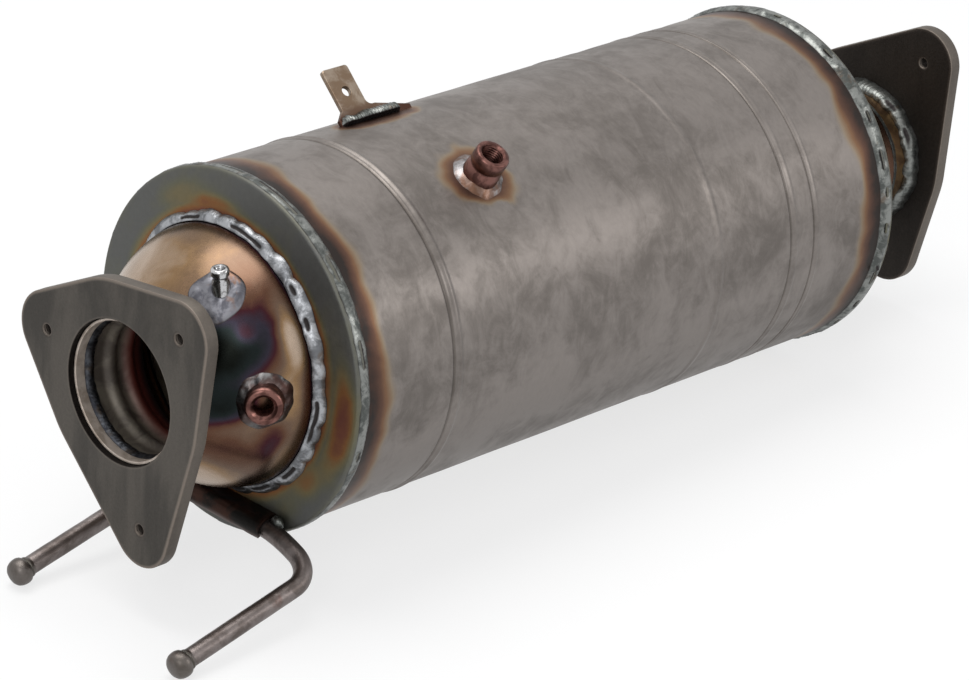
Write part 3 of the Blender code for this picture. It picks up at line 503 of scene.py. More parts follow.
def bead_ring(name, root, toe_a, toe_b, crown, kind, node, middle=canister_line, steps=420, across=12,
              wander=None, seed=0.0, pit_start=0.15, pit_line=0.5, scallop=0.0, blobs=()):
    """A weld bead all round the axis: ripples, stray edges, lumps and slag pits. Blobs are
    drops of spatter on it, each an angle and a height."""
    welds = bpy.context.scene.canister_welds
    wander = welds.wander if wander is None else wander
    root, toe_a, toe_b = Vector(root), Vector(toe_a), Vector(toe_b)
    outward = ((toe_a + toe_b) / 2 - root).normalized()
    radius = (toe_a.y + toe_b.y) / 2
    mesh = Mesh()
    columns = []
    for turn in turns(steps):
        travel = turn * radius
        around = (0.0, radius * cos(turn), radius * sin(turn))
        stray_a = 1.0 + wander * (rough(around, 95.0, seed)
                                  + 0.6 * rough(around, 260.0, seed + 5.0))
        stray_b = 1.0 + wander * (rough(around, 85.0, seed + 9.0)
                                  + 0.6 * rough(around, 240.0, seed + 14.0))
        stray_b += scallop * (abs(rough(around, 60.0, seed + 50.0)) ** 0.7 - 0.25)
        near = root + (toe_a - root) * min(stray_a, 1.12)
        far = root + (toe_b - root) * min(stray_b, 1.3)
        swell = 1.0 + 0.45 * rough(around, 70.0, seed + 21.0)
        slag = eased(rough(around, 75.0, seed + 30.0), pit_start, pit_start + PIT_ONSET)
        line = pit_line + 0.10 * rough(around, 50.0, seed + 41.0)
        drop = 0.0
        for spot, height in blobs:
            drop += height * exp(-((travel - radians(spot % 360) * radius) / SPATTER_RADIUS) ** 2)
        column = []
        marks = []
        for index in range(across + 1):
            t = index / across
            arch = 4 * t * (1 - t)
            phase = travel / welds.ripple_pitch + 0.9 * (2 * t - 1) ** 2
            lift = crown * swell * arch + welds.ripple * cos(2 * pi * phase) * arch
            lift += 0.12 * MM * arch * rough(around, 700.0, t * 3.0 + seed)
            lift += 0.10 * MM * arch * rough(around, 320.0, t * 5.0 + seed) + drop * arch
            hollow = slag * exp(-((t - line) / PIT_WIDTH) ** 2)
            lift -= welds.pit * hollow
            section = near.lerp(far, t) + outward * lift
            column.append((section.x, section.y))
            # Toes darken: slag colour, and painted shade where the bead meets its neighbour
            toe = max(1.0 - t * TOE_FALL, 1.0 - (1.0 - t) * TOE_FALL, 0.0)
            marks.append(min(1.0, hollow * 1.1 + 0.55 * toe))
        column.append((root.x, root.y))
        marks.append(1.0)
        columns.append((turn, column, marks))
    rows = []
    for index in range(across + 2):
        points = []
        for turn, column, _ in columns:
            x, out = column[index]
            centre = middle(x)
            points.append((x, centre.y - out * cos(turn), centre.z + out * sin(turn)))
        rows.append(mesh.row(points, grime=[marks[index] for _, _, marks in columns]))
    mesh.skin(rows, loop=True)
    return mesh.piece(name, weld_finish(name + "_metal", kind), "weld_metal", node, sharp=BEAD_SHARP)


def place_on_bell(station, turn, aim, tilt):
    """A boss on the inlet bell: its foot, and its way from an aim and a tilt to the inlet."""
    foot = radial(turn) * cone_radius(station) + bell_middle(station, INLET_PIPE)
    foot.x = INLET_CAP_FACE - station
    way = radial(aim) * cos(radians(tilt)) - Vector((sin(radians(tilt)), 0.0, 0.0))
    return foot, way


def threaded(pitch, depth):
    """A shape rule that cuts a thread into a bore about X."""
    def shape(x, radius, turn):
        phase = (x / pitch - turn / (2 * pi)) % 1.0
        return x, radius + depth * (1.0 - abs(2.0 * phase - 1.0))
    return shape


# Rows of points that a thread takes from one crest to the next
THREAD_ROWS = 6

# How far a boss is sunk under the skin it stands on, and its bead's lowest row
BOSS_SINK = 0.4 * MM
BEAD_SINK = 0.8 * MM
BEAD_BED = 0.25 * MM

# A bead heaped more than this is a puddle, and lies along the skin
PUDDLE_HEAP = 0.8


def turned_boss(name, seat, outside, finish, slot, node, bore, pitch=1.5 * MM, depth=0.5 * MM,
                steps=64, floor_depth=4.0 * MM, tip=0.8 * MM):
    """A boss with a threaded bore. Its seat is foot, way and the height rule of the skin
    under it, its outside height and radius in mm, and its lowest row follows the skin."""
    foot, way, above = seat
    mesh = Mesh()
    frame_of_boss = pointing(foot, way)
    outside = [(level * MM, radius * MM) for level, radius in outside]
    height = outside[-1][0]
    base = [landed(point, way, above) - way * BOSS_SINK
            for point in circle(0.0, outside[0][1], steps, frame_of_boss)]
    rows = [mesh.row(base)]
    for level, radius in (*outside[1:], (height, bore + tip), (height - tip, bore)):
        rows.append(mesh.row(circle(level, radius, steps, frame_of_boss)))
    cut = threaded(pitch, depth)
    level = height - tip
    count = int((level + floor_depth) / (pitch / THREAD_ROWS))
    for step in range(1, count):
        rows.append(mesh.row(circle(level - (level + floor_depth) * step / count, bore - depth, steps,
                                    frame_of_boss, cut)))
    rows.append(mesh.row(circle(-floor_depth, bore, steps, frame_of_boss)))
    mesh.skin(rows)
    mesh.cap(rows[0], rows[-1])
    return mesh.piece(name, finish, slot, node)


def boss_bead(name, seat, kind, node, inner, width, height, seed, steps=120, across=14,
              lumps=0.35, heap=0.0):
    """A weld heaped round a boss, on the skin it stands on."""
    foot, way, above = seat
    mesh = Mesh()
    frame_of_boss = pointing(foot, way)
    flat = pointing(foot, skin_way(foot, above)) if heap > PUDDLE_HEAP else frame_of_boss
    rows = []
    for index in range(across + 1):
        t = index / across
        points = []
        grime = []
        for turn in turns(steps):
            edge_spot = (cos(turn) * inner, sin(turn) * inner, 0.0)
            span = width * (1.0 + 0.55 * rough(edge_spot, 75.0, seed)
                            + 0.30 * rough(edge_spot, 210.0, seed + 3.0))
            radius = inner + span * t
            leaned = eased(t, 0.0, 0.35)
            spot = Vector((0.0, -radius * cos(turn), radius * sin(turn)))
            local = (frame_of_boss @ spot).lerp(flat @ spot, leaned)
            ground = landed(local, way, above)
            fillet = (1.0 - t) ** 1.5
            puddle = (1.0 - t ** 5.0) * (0.62 + 0.38 * (1.0 - t))
            fall = fillet * (1.0 - heap) + puddle * heap
            swell = 1.0 + lumps * (rough(ground, 95.0, seed + 7.0)
                                   + 0.55 * rough(ground, 240.0, seed + 17.0))
            points.append(ground + way * (height * fall * swell - BEAD_BED))
            # Both edges darken: slag at the toes, and painted shade where the bead meets the skin
            grime.append(max(eased(t, 0.88, 1.0) * 0.8, eased(1.0 - t, 0.92, 1.0) * 0.8))
        rows.append(mesh.row(points, grime=grime))
    under = [landed(point, way, above) - way * BEAD_SINK
             for point in circle(0.0, inner, steps, frame_of_boss)]
    rows.append(mesh.row(under, grime=[1.0] * steps))
    mesh.skin(rows, loop=True)
    return mesh.piece(name, weld_finish(name + "_metal", kind), "weld_metal", node, sharp=BEAD_SHARP)


def maths(operation, swapped=False):
    """An arithmetic operator that adds a Math node."""
    def apply(self, other):
        first, second = (other, self) if swapped else (self, other)
        return self.nodes.node("ShaderNodeMath", {"operation": operation}, {0: first, 1: second})
    return apply


class Wire:
    """A value in a material or the world. Arithmetic on it adds Math nodes."""

    def __init__(self, nodes, socket):
        self.nodes = nodes
        self.socket = socket

    __add__ = maths("ADD")
    __radd__ = maths("ADD", swapped=True)
    __sub__ = maths("SUBTRACT")
    __rsub__ = maths("SUBTRACT", swapped=True)
    __mul__ = maths("MULTIPLY")
    __rmul__ = maths("MULTIPLY", swapped=True)
    most = maths("MAXIMUM")
    least = maths("MINIMUM")

    def between(self, low, high):
        """Smooth step from 0 at low to 1 at high."""
        return self.nodes.node("ShaderNodeMapRange", {"interpolation_type": "SMOOTHSTEP"},
                               {"Value": self, "From Min": low, "From Max": high})


class Nodes:
    """The node tree of a material or the world."""

    def __init__(self, tree):
        self.tree = tree

    def add(self, kind, settings=None, inputs=None):
        """Add any node: its settings first, then the values or wires of its sockets."""
        made = self.tree.nodes.new(kind)
        for key, value in (settings or {}).items():
            if key == "stops":
                self.set_stops(made.color_ramp, value)
            else:
                setattr(made, key, value)
        for key, value in (inputs or {}).items():
            self.feed(made.inputs[key], value)
        return made

    def node(self, kind, settings=None, inputs=None, output=0):
        """Add a node and take one of its outputs."""
        return Wire(self, self.add(kind, settings, inputs).outputs[output])

    def feed(self, socket, value):
        if isinstance(value, Wire):
            self.tree.links.new(value.socket, socket)
        elif hasattr(value, "__len__") and socket.type == "RGBA":
            socket.default_value = (*value, 1.0)
        else:
            socket.default_value = value

    @staticmethod
    def set_stops(ramp, stops):
        while len(ramp.elements) < len(stops):
            ramp.elements.new(1.0)
        for element, (place, shade) in zip(ramp.elements, stops):
            element.position = place
            element.color = (*shade, 1.0)

    def seen(self):
        """1 for rays from the camera, from reflections and through glass, else 0."""
        rays = self.add("ShaderNodeLightPath").outputs
        camera, glossy, through = (Wire(self, rays[f"Is {kind} Ray"])
                                   for kind in ("Camera", "Glossy", "Transmission"))
        return camera.most(glossy).most(through)


class Finish(Nodes):
    """A Principled material under construction."""

    def __init__(self, name):
        self.material = bpy.data.materials.new(name)
        self.material.use_nodes = True
        super().__init__(self.material.node_tree)
        self.shader = self.tree.nodes["Principled BSDF"]
        self.position = self.node("ShaderNodeTexCoord", output="Object")
        self.colours = bpy.context.scene.canister_colours

    def cloud(self, scale, detail=5.0, roughness=0.6, stretch=None, distortion=0.0, shift=0.0):
        """Noise from about 0.3 to 0.7 in the object's own space."""
        vector = self.position
        if stretch is not None or shift:
            vector = self.node("ShaderNodeMapping", None,
                               {"Vector": vector, "Scale": stretch or (1.0, 1.0, 1.0),
                                "Location": (shift,) * 3})
        return self.node("ShaderNodeTexNoise", None,
                         {"Vector": vector, "Scale": scale, "Detail": detail, "Roughness": roughness,
                          "Distortion": distortion}, "Fac")

    def mark(self, name):
        """A number stored on the mesh, such as heat tint, grime and painted shade, or wear and painted
        highlight.
        """
        return self.node("ShaderNodeAttribute", {"attribute_name": name}, output="Fac")

    def ramp(self, value, stops):
        return self.node("ShaderNodeValToRGB", {"stops": stops}, {"Fac": value}, "Color")

    def mix(self, share, first, second):
        """Blend two colours."""
        return self.node("ShaderNodeMix", {"data_type": "RGBA"}, {0: share, 6: first, 7: second}, 2)

    def dimmed(self, shade, factor):
        """A colour times a number."""
        return self.node("ShaderNodeVectorMath", {"operation": "SCALE"}, {0: shade, "Scale": factor})

    def relief(self, height, distance, strength=1.0):
        """Bump from a height value."""
        return self.node("ShaderNodeBump", None,
                         {"Height": height, "Distance": distance, "Strength": strength}, "Normal")

    def done(self, shade, rough_value, metal=1.0, normal=None):
        self.feed(self.shader.inputs["Base Color"], shade)
        self.feed(self.shader.inputs["Roughness"], rough_value)
        self.feed(self.shader.inputs["Metallic"], metal)
        if normal is not None:
            self.feed(self.shader.inputs["Normal"], normal)
        return self.material


# Heat colours, from bare steel to black scale
SHELL_TINTS = (
    (0.0, (0.205, 0.180, 0.158)), (0.20, (0.235, 0.185, 0.132)), (0.42, (0.175, 0.100, 0.060)),
    (0.62, (0.105, 0.058, 0.042)), (0.85, (0.062, 0.038, 0.031)), (1.0, (0.034, 0.028, 0.026)))
# On the bells the palest stop also paints highlights, and the darkest stops paint shade
BELL_TINTS_AND_PAINTED_LIGHT = (
    (0.0, (0.420, 0.325, 0.250)), (0.17, (0.240, 0.150, 0.080)), (0.32, (0.135, 0.088, 0.062)),
    (0.46, (0.100, 0.050, 0.032)), (0.58, (0.046, 0.014, 0.018)), (0.70, (0.030, 0.026, 0.037)),
    (0.84, (0.013, 0.017, 0.017)), (1.0, (0.006, 0.007, 0.006)))
CAP_TINTS = (
    (0.0, (0.120, 0.121, 0.116)), (0.20, (0.135, 0.133, 0.098)), (0.40, (0.185, 0.150, 0.080)),
    (0.60, (0.230, 0.110, 0.045)), (0.75, (0.170, 0.066, 0.046)), (0.88, (0.125, 0.070, 0.072)),
    (1.0, (0.060, 0.038, 0.032)))

# Beads: bright metal, duller patches, brown film, and the noise level where the film starts
BEAD_METALS = {
    "bell": ((0.370, 0.380, 0.400), (0.150, 0.155, 0.165), (0.150, 0.115, 0.090), 0.66),
    "rim": ((0.220, 0.228, 0.218), (0.080, 0.086, 0.082), (0.100, 0.070, 0.050), 0.64),
    "bore": ((0.120, 0.128, 0.145), (0.036, 0.038, 0.046), (0.080, 0.060, 0.042), 0.56),
    "puddle": ((0.200, 0.200, 0.220), (0.095, 0.095, 0.110), (0.190, 0.090, 0.040), 0.60),
    "boss": ((0.290, 0.280, 0.285), (0.110, 0.100, 0.100), (0.150, 0.065, 0.030), 0.48),
    "probe": ((0.170, 0.165, 0.165), (0.050, 0.048, 0.050), (0.060, 0.026, 0.020), 0.46),
}


def shell_finish():
    """Matt sheet in mottled grey, tinted by the welds at its ends and bosses."""
    made = Finish("rolled_shell_steel")
    broad = made.cloud(9.0, 3.0, 0.5, stretch=(0.6, 1.0, 1.0), distortion=0.3, shift=6.0)
    blotch = made.cloud(26.0, 6.0, 0.66, stretch=(0.8, 1.0, 1.0), distortion=0.5)
    smear = made.cloud(60.0, 6.0, 0.70, stretch=(1.3, 0.8, 0.8), distortion=0.9, shift=4.0)
    fine = made.cloud(420.0, 4.0, 0.7, stretch=(1.0, 0.6, 0.6))
    dull = (broad * 0.30 + blotch * 0.42 + smear * 0.28).between(0.41, 0.60)
    shade = made.mix(dull, made.colours.shell_light, made.colours.shell_dark)
    shade = made.dimmed(shade, 0.86 + fine * 0.28)
    stray = made.cloud(38.0, 4.0, 0.6, distortion=0.3, shift=9.0) - 0.5
    heat_tint_and_light = made.mark("oxide")
    tint_level = (heat_tint_and_light + stray * heat_tint_and_light * 0.9).most(0.0)
    tint = made.ramp(tint_level, SHELL_TINTS)
    shade = made.mix(tint_level.between(0.03, 0.30), shade, tint)
    # Painted shade from the grime mark: dark in the swage grooves and towards the bottom of the shell
    shade = made.mix(made.mark("grime") * 0.85, shade, (0.045, 0.036, 0.028))
    scratch = made.cloud(260.0, 3.0, 0.6, stretch=(3.0, 0.10, 0.10), shift=2.0)
    grain = made.cloud(900.0, 3.0, 0.6)
    bump = scratch * 0.5 + grain * 0.5
    return made.done(shade, 0.40 + dull * 0.10 + fine * 0.08, 1.0, made.relief(bump, 0.00005, 0.5))


def cap_finish(name):
    made = Finish(name)
    stray = made.cloud(34.0, 5.0, 0.6, distortion=0.6, shift=3.0) - 0.5
    level = (made.mark("oxide") + stray * 0.42).most(0.0)
    shade = made.ramp(level, CAP_TINTS)
    fine = made.cloud(380.0, 4.0, 0.7)
    shade = made.dimmed(shade, 0.82 + fine * 0.36)
    grain = made.cloud(800.0, 3.0, 0.6)
    return made.done(shade, 0.52 + fine * 0.12, 1.0, made.relief(grain, 0.00005, 0.6))


def bell_finish(name):
    made = Finish(name)
    stray = made.cloud(45.0, 4.0, 0.55, distortion=0.8, shift=5.0) - 0.5
    # The oxide level here also holds painted highlights and painted shade
    level = (made.mark("oxide") + stray * 0.26).most(0.0).least(1.0)
    shade = made.ramp(level, BELL_TINTS_AND_PAINTED_LIGHT)
    fine = made.cloud(300.0, 4.0, 0.65)
    shade = made.dimmed(shade, 0.85 + fine * 0.3)
    scratch = made.cloud(220.0, 3.0, 0.6, stretch=(0.12, 1.0, 1.0), shift=7.0)
    return made.done(shade, 0.20 + fine * 0.14, 1.0, made.relief(scratch, 0.00004, 0.5))


def weld_finish(name, kind):
    """Bead metal, dark in its pits and toes (partly painted shade there), with a brown film in places.
    """
    bright, dull, film, start = BEAD_METALS[kind]
    made = Finish(name)
    grime = made.mark("grime")
    patch = made.cloud(130.0, 5.0, 0.65, distortion=0.5)
    shade = made.mix(patch.between(0.40, 0.60), bright, dull)
    brown = made.cloud(60.0, 4.0, 0.6, distortion=0.5, shift=11.0).between(start - 0.07, start + 0.07)
    shade = made.mix(brown * 0.7, shade, film)
    shade = made.mix(grime.between(0.10, 0.75), shade, made.colours.weld_slag_and_toe_shade)
    grain = made.cloud(1100.0, 3.0, 0.6)
    return made.done(shade, 0.30 + patch * 0.2 + grime * 0.25, 1.0, made.relief(grain, 0.00012, 0.7))


def plate_finish():
    """Hot-rolled flange plate with bright, worn arrises that also carry a painted highlight."""
    made = Finish("flange_plate_scale")
    speck = made.cloud(620.0, 4.0, 0.75)
    stain = made.cloud(34.0, 4.0, 0.6, stretch=(1.0, 1.0, 0.28), distortion=0.3, shift=6.0)
    shade = made.mix(stain.between(0.38, 0.64), made.colours.plate_steel, (0.098, 0.088, 0.077))
    shade = made.dimmed(shade, 0.62 + speck * 0.76)
    wear = made.mark("wear")
    shade = made.mix((wear * (0.55 + speck)).least(1.0), shade, made.colours.plate_edge_and_highlight)
    # Near black for the grime mark: dark scale on the bore walls, and painted shade on the outlet
    # plate's front and down the stud holes
    soot_and_shade = made.dimmed((0.022, 0.018, 0.016), 0.4 + speck)
    shade = made.mix(made.mark("grime"), shade, soot_and_shade)
    return made.done(shade, 0.50 + speck * 0.16, 0.9, made.relief(speck, 0.00016, 0.8))


def copper_finish(name):
    made = Finish(name)
    patch = made.cloud(170.0, 4.0, 0.6, distortion=0.5)
    shade = made.mix(patch.between(0.42, 0.62), made.colours.copper, (0.085, 0.040, 0.034))
    fine = made.cloud(900.0, 3.0, 0.6)
    return made.done(shade, 0.24 + patch * 0.2, 1.0, made.relief(fine, 0.00006, 0.6))


def rod_finish():
    """Drawn rod with a little rust, dulled on its knobs."""
    made = Finish("drawn_rod_steel")
    patch = made.cloud(60.0, 5.0, 0.65, distortion=0.6)
    shade = made.mix(patch.between(0.40, 0.62), made.colours.rod_steel, (0.110, 0.092, 0.085))
    rust = made.cloud(42.0, 4.0, 0.6, distortion=0.4, shift=8.0).between(0.60, 0.72)
    shade = made.mix(rust * 0.5, shade, (0.090, 0.034, 0.022))
    fine = made.cloud(700.0, 4.0, 0.7)
    shade = made.dimmed(shade, 0.75 + fine * 0.5)
    dull = made.mix(patch, (0.030, 0.030, 0.022), (0.110, 0.105, 0.092))
    shade = made.mix(made.mark("grime") * 0.9, shade, dull)
    return made.done(shade, 0.34 + patch * 0.16, 1.0, made.relief(fine, 0.00012, 0.7))


def tab_finish():
    made = Finish("tab_sheet_steel")
    patch = made.cloud(90.0, 4.0, 0.6, distortion=0.5)
    shade = made.mix(patch.between(0.40, 0.62), (0.290, 0.235, 0.185), (0.180, 0.125, 0.085))
    heat_tint_and_light = made.mark("oxide")
    shade = made.mix(heat_tint_and_light.between(0.1, 0.9), shade, (0.070, 0.034, 0.024))
    fine = made.cloud(800.0, 3.0, 0.6)
    return made.done(shade, 0.40 + patch * 0.12, 1.0, made.relief(fine, 0.00008, 0.6))


# Painted shade: the sheet is near black where it lies in shade under the bell, and its wear level lights
# the lower lip as a painted highlight
def saddle_shaded_finish():
    made = Finish("saddle_sheet_painted_shade")
    patch = made.cloud(60.0, 5.0, 0.6, distortion=0.6)
    shade = made.mix(patch.between(0.40, 0.60), (0.016, 0.015, 0.014), (0.050, 0.026, 0.020))
    fine = made.cloud(700.0, 4.0, 0.7)
    shade = made.mix(made.mark("wear") * 0.85, shade, (0.150, 0.120, 0.112))
    return made.done(shade, 0.40 + fine * 0.15, 1.0, made.relief(fine, 0.00012, 0.7))


def pipe_finish(name, shade_a, shade_b, shine=0.32, metal=1.0):
    """Pipe and ribbed sheet seen in the bores, red-brown where the gas heated it."""
    made = Finish(name)
    patch = made.cloud(80.0, 5.0, 0.6, distortion=0.7)
    shade = made.mix(patch.between(0.40, 0.62), shade_a, shade_b)
    shade = made.mix(made.mark("oxide"), shade, (0.120, 0.022, 0.016))
    fine = made.cloud(600.0, 4.0, 0.7)
    shade = made.dimmed(shade, 0.8 + fine * 0.4)
    # The grime mark here lays painted shade, near black deep in the neck
    shade = made.mix(made.mark("grime"), shade, (0.004, 0.003, 0.003))
    return made.done(shade, shine + patch * 0.2, metal, made.relief(fine, 0.00008, 0.6))


def bright_finish():
    made = Finish("turned_stub_steel")
    patch = made.cloud(260.0, 3.0, 0.6)
    shade = made.mix(patch.between(0.45, 0.65), made.colours.bright_steel, (0.220, 0.215, 0.215))
    return made.done(shade, 0.16 + patch * 0.1, 1.0)


def ceramic_finish(name, light, dark, scale):
    made = Finish(name)
    patch = made.cloud(scale, 3.0, 0.6)
    cloud = made.cloud(30.0, 4.0, 0.6)
    shade = made.mix((patch * 0.6 + cloud * 0.4).between(0.35, 0.65), light, dark)
    return made.done(shade, 0.85 + patch * 0.1, 0.0, made.relief(patch, 0.0002, 0.6))


def wire_mesh_finish(name):
    made = Finish(name)
    weave = made.cloud(1500.0, 2.0, 0.5, stretch=(1.0, 0.3, 0.3))
    shade = made.mix(weave.between(0.4, 0.6), (0.420, 0.400, 0.380), (0.090, 0.085, 0.080))
    return made.done(shade, 0.45 + weave * 0.1, 1.0, made.relief(weave, 0.0004))


# Flange plates: the flat band inside each rim, the bore's chamfer, and points round each edge
RIM_BAND = 1.1 * MM
BORE_CHAMFER = 0.35 * MM
BORE_STEPS = 180
HOLE_STEPS = 40


def hull_loop(ears, pipe, inset, steps=288):
    """The hull of a hub and its ears, drawn in by an inset, one point per direction."""
    sizes = bpy.context.scene.canister_flanges
    rims = [(pipe.yz / 2, sizes.hub)]
    rims += [(Vector((-distance * cos(radians(turn)), distance * sin(radians(turn)))), sizes.ear)
             for turn, distance in ears]
    loop = []
    for step in range(steps):
        turn = 2 * pi * (step + 0.5) / steps
        way = Vector((cos(turn), sin(turn)))
        centre, radius = max(rims, key=lambda rim: rim[0].dot(way) + rim[1])
        loop.append(centre + way * (radius - inset))
    return loop


def flange_plate(name, front, ears, pipe, finish, node, soot_and_shade=0.0):
    """A plate with a rounded edge, a bore and threaded stud holes. Painted shade, at the level given,
    darkens its front.
    """
    sizes = bpy.context.scene.canister_flanges
    thickness, edge, chamfer = FLANGE_THICKNESS, sizes.edge, BORE_CHAMFER
    mesh = Mesh()
    rim_rows = []
    # Edge rows: the wear level is worn steel plus a painted highlight along the arris
    for depth, inset, wear_and_glint in (
            (0.0, edge + RIM_BAND, 0.0), (0.0, edge, 0.8), (edge * 0.10, edge * 0.55, 1.0),
            (edge * 0.35, edge * 0.2, 0.9), (edge, 0.0, 0.32), (thickness - edge, 0.0, 0.32),
            (thickness - edge * 0.35, edge * 0.2, 0.6), (thickness - edge * 0.1, edge * 0.55, 0.8),
            (thickness, edge, 0.5), (thickness, edge + RIM_BAND, 0.0)):
        loop = hull_loop(ears, pipe, inset)
        dirt_and_shade = soot_and_shade if depth < edge * 0.2 else 0.0
        rim_rows.append(mesh.row([(front + depth, point.x, point.y) for point in loop],
                                 wear=[wear_and_glint] * len(loop), grime=[dirt_and_shade] * len(loop)))
    mesh.skin(rim_rows)

    def ring(middle, depth, radius, wear_and_glint, dirt_and_shade, steps, shape=None):
        points = circle(depth, radius, steps, middle, shape)
        return mesh.row(points, wear=[wear_and_glint] * steps, grime=[dirt_and_shade] * steps)

    middle = Matrix.Translation(pipe + Vector((front, 0.0, 0.0)))
    bore_rows = [ring(middle, depth, sizes.bore + wider, wear_and_glint, dirt_and_shade, BORE_STEPS)
                 for depth, wider, wear_and_glint, dirt_and_shade in (
                     (0.0, 4 * chamfer, 0.0, soot_and_shade), (0.0, chamfer, 0.25, soot_and_shade),
                     (chamfer, 0.0, 0.1, 1.0), (thickness - chamfer, 0.0, 0.0, 1.0),
                     (thickness, chamfer, 0.0, 0.3), (thickness, 4 * chamfer, 0.0, 0.0))]
    mesh.skin(bore_rows)

    hole_rows = []
    near, far = sizes.stud_hole + 0.5 * MM, sizes.stud_hole + 1.3 * MM
    thread = threaded(sizes.thread_pitch, sizes.thread_depth)
    count = int(thickness / (sizes.thread_pitch / THREAD_ROWS))
    for turn, distance in ears:
        centre = Matrix.Translation(Vector((front, 0.0, 0.0)) + radial(turn) * distance)
        # Painted shade deepens from each hole's mouth down its threads, and the threads' wear level adds
        # a painted glint
        rows = [ring(centre, 0.0, far, 0.0, soot_and_shade, HOLE_STEPS),
                ring(centre, 0.0, near, 0.1, max(soot_and_shade, 0.35), HOLE_STEPS)]
        rows += [ring(centre, thickness * step / count, sizes.stud_hole - sizes.thread_depth, 0.9,
                      0.35 + eased(step, 2, 16) * 0.6, HOLE_STEPS, thread) for step in range(1, count)]
        rows += [ring(centre, thickness, near, 0.6, 0.0, HOLE_STEPS),
                 ring(centre, thickness, far, 0.0, 0.0, HOLE_STEPS)]
        mesh.skin(rows)
        hole_rows.append(rows)

    for end in (0, -1):
        fill_face(mesh, [rim_rows[end], bore_rows[end]] + [rows[end] for rows in hole_rows])
    return mesh.piece(name, finish, "flange_steel", node, sharp=radians(30.0))


def fill_face(mesh, loops):
    """Cover a flat face that has holes in it."""
    bm = bmesh.new()
    back = {}
    for loop in loops:
        verts = [bm.verts.new(mesh.points[index]) for index in loop]
        for vert, index in zip(verts, loop):
            back[vert] = index
        for first, second in zip(verts, verts[1:] + verts[:1]):
            bm.edges.new((first, second))
    bmesh.ops.triangle_fill(bm, use_beauty=True, edges=bm.edges)
    for face in bm.faces:
        mesh.faces.append(tuple(back[vert] for vert in face.verts))
    bm.free()


class CANISTER_OT_flanges(bpy.types.Operator):
    """Make both flange plates with their threaded stud holes"""
    bl_idname = "canister.flanges"
    bl_label = "Flange Plates"

    def execute(self, context):
        finish = plate_finish()
        flange_plate("inlet_flange_plate", 0.0, INLET_EARS, INLET_PIPE, finish, "inlet_flange")
        # Painted shade on the outlet plate's front, which faces the can
        flange_plate("outlet_flange_plate", OUTLET_FLANGE_FRONT, OUTLET_EARS, OUTLET_PIPE, finish,
                     "outlet_flange", soot_and_shade=0.75)
        return {"FINISHED"}


# Where painted shade starts darkening the neck towards its far end, and where its red heat tint starts
# and is full
NECK_SHADE = 27.0 * MM
NECK_GLOW = 17.0 * MM, 26.0 * MM


class CANISTER_OT_inlet_pipework(bpy.types.Operator):
    """Make the sleeve, its weld and the ribbed neck that show through the inlet"""
    bl_idname = "canister.inlet_pipework"
    bl_label = "Inlet Pipework"

    wall: length("Wall", "Thickness of the neck's sheet", 1.2)
    lead: length("Lead", "Plain length ahead of the ribs", 6.4)
    pitch: length("Pitch", "From one rib to the next", 12.0)
    depth: length("Depth", "Depth of a rib", 2.6)
    ribs: IntProperty(name="Ribs", description="Ribs in the neck", default=2, min=0)

    def execute(self, context):
        start, end = reach("inlet_sleeve", 0)
        outer = outer_radius("inlet_sleeve")
        inner = outer - context.scene.canister_sizes.sheet
        edge = 0.4 * MM

        def sag(x, radius, turn):
            spot = (x, radius * cos(turn), radius * sin(turn))
            return x, radius + 0.12 * MM * rough(spot, 70.0, 2.0)

        lathe("inlet_pipe_end",
              ((start, inner + edge), (start, outer - edge), (start + edge, outer), (end, outer),
               (end, inner), (start + edge, inner)),
              pipe_finish("pipe_end_steel", (0.500, 0.430, 0.370), (0.330, 0.270, 0.220), 0.36, 0.35),
              "pipe_steel", "inlet_sleeve", shape=sag, middle=inlet_line)

        start, end = reach("inlet_sleeve_weld", 0)
        toe = outer - 1.4 * MM
        bead_ring("inlet_pipe_end_bead", ((start + end) / 2, outer), (start - 0.3 * MM, toe),
                  (end + 2.0 * MM, toe), 1.6 * MM, "bore", "inlet_sleeve_weld", inlet_line,
                  wander=0.28, seed=4.0, pit_start=0.1)
        self.neck()
        return {"FINISHED"}

    def neck(self):
        start, end = reach("inlet_neck", 0)
        outer = outer_radius("inlet_neck")
        outside = []
        steps = 60
        for step in range(steps + 1):
            x = start + (end - start) * step / steps
            along = x - start - self.lead
            ribbed = 0.0 < along < self.pitch * self.ribs
            dip = self.depth * (0.5 - 0.5 * cos(2 * pi * along / self.pitch)) if ribbed else 0.0
            outside.append((x, outer - dip))
        inside = [(x, radius - self.wall) for x, radius in reversed(outside)]

        # Painted shade, darkening the neck towards its far end
        def soot_and_shade(point):
            return eased(point.x, start + NECK_SHADE, end)

        def glow(point):
            return eased(point.x, start + NECK_GLOW[0], start + NECK_GLOW[1])

        lathe("inlet_ribbed_neck", outside + inside,
              pipe_finish("ribbed_neck_steel", (0.160, 0.138, 0.110), (0.085, 0.070, 0.058), 0.34, 0.35),
              "pipe_steel", "inlet_neck", marks={"grime": soot_and_shade, "oxide": glow}, middle=inlet_line)


def painted(level, along, around, spots, radius):
    """Lay soft spots over a level. Each is a place along, an angle, half sizes along and
    around, and the level in its middle, with lengths in millimetres."""
    for place, turn, half_along, half_around, wanted in spots:
        apart = (around - turn + 180.0) % 360.0 - 180.0
        reach_along = (along - place * MM) / (half_along * MM)
        reach_around = radians(apart) * radius / (half_around * MM)
        share = exp(-(reach_along ** 2 + reach_around ** 2) ** 1.5)
        level += (wanted - level) * share
    return level


# Heat on a bell: its plain level, and where it rises by the neck, the base and the weld
BELL_PLAIN = 0.30
NECK_TINT = 44.0 * MM, 60.0 * MM
BASE_TINT = 6.0 * MM, 13.0 * MM
WELD_TINT = 5.2 * MM, 7.4 * MM


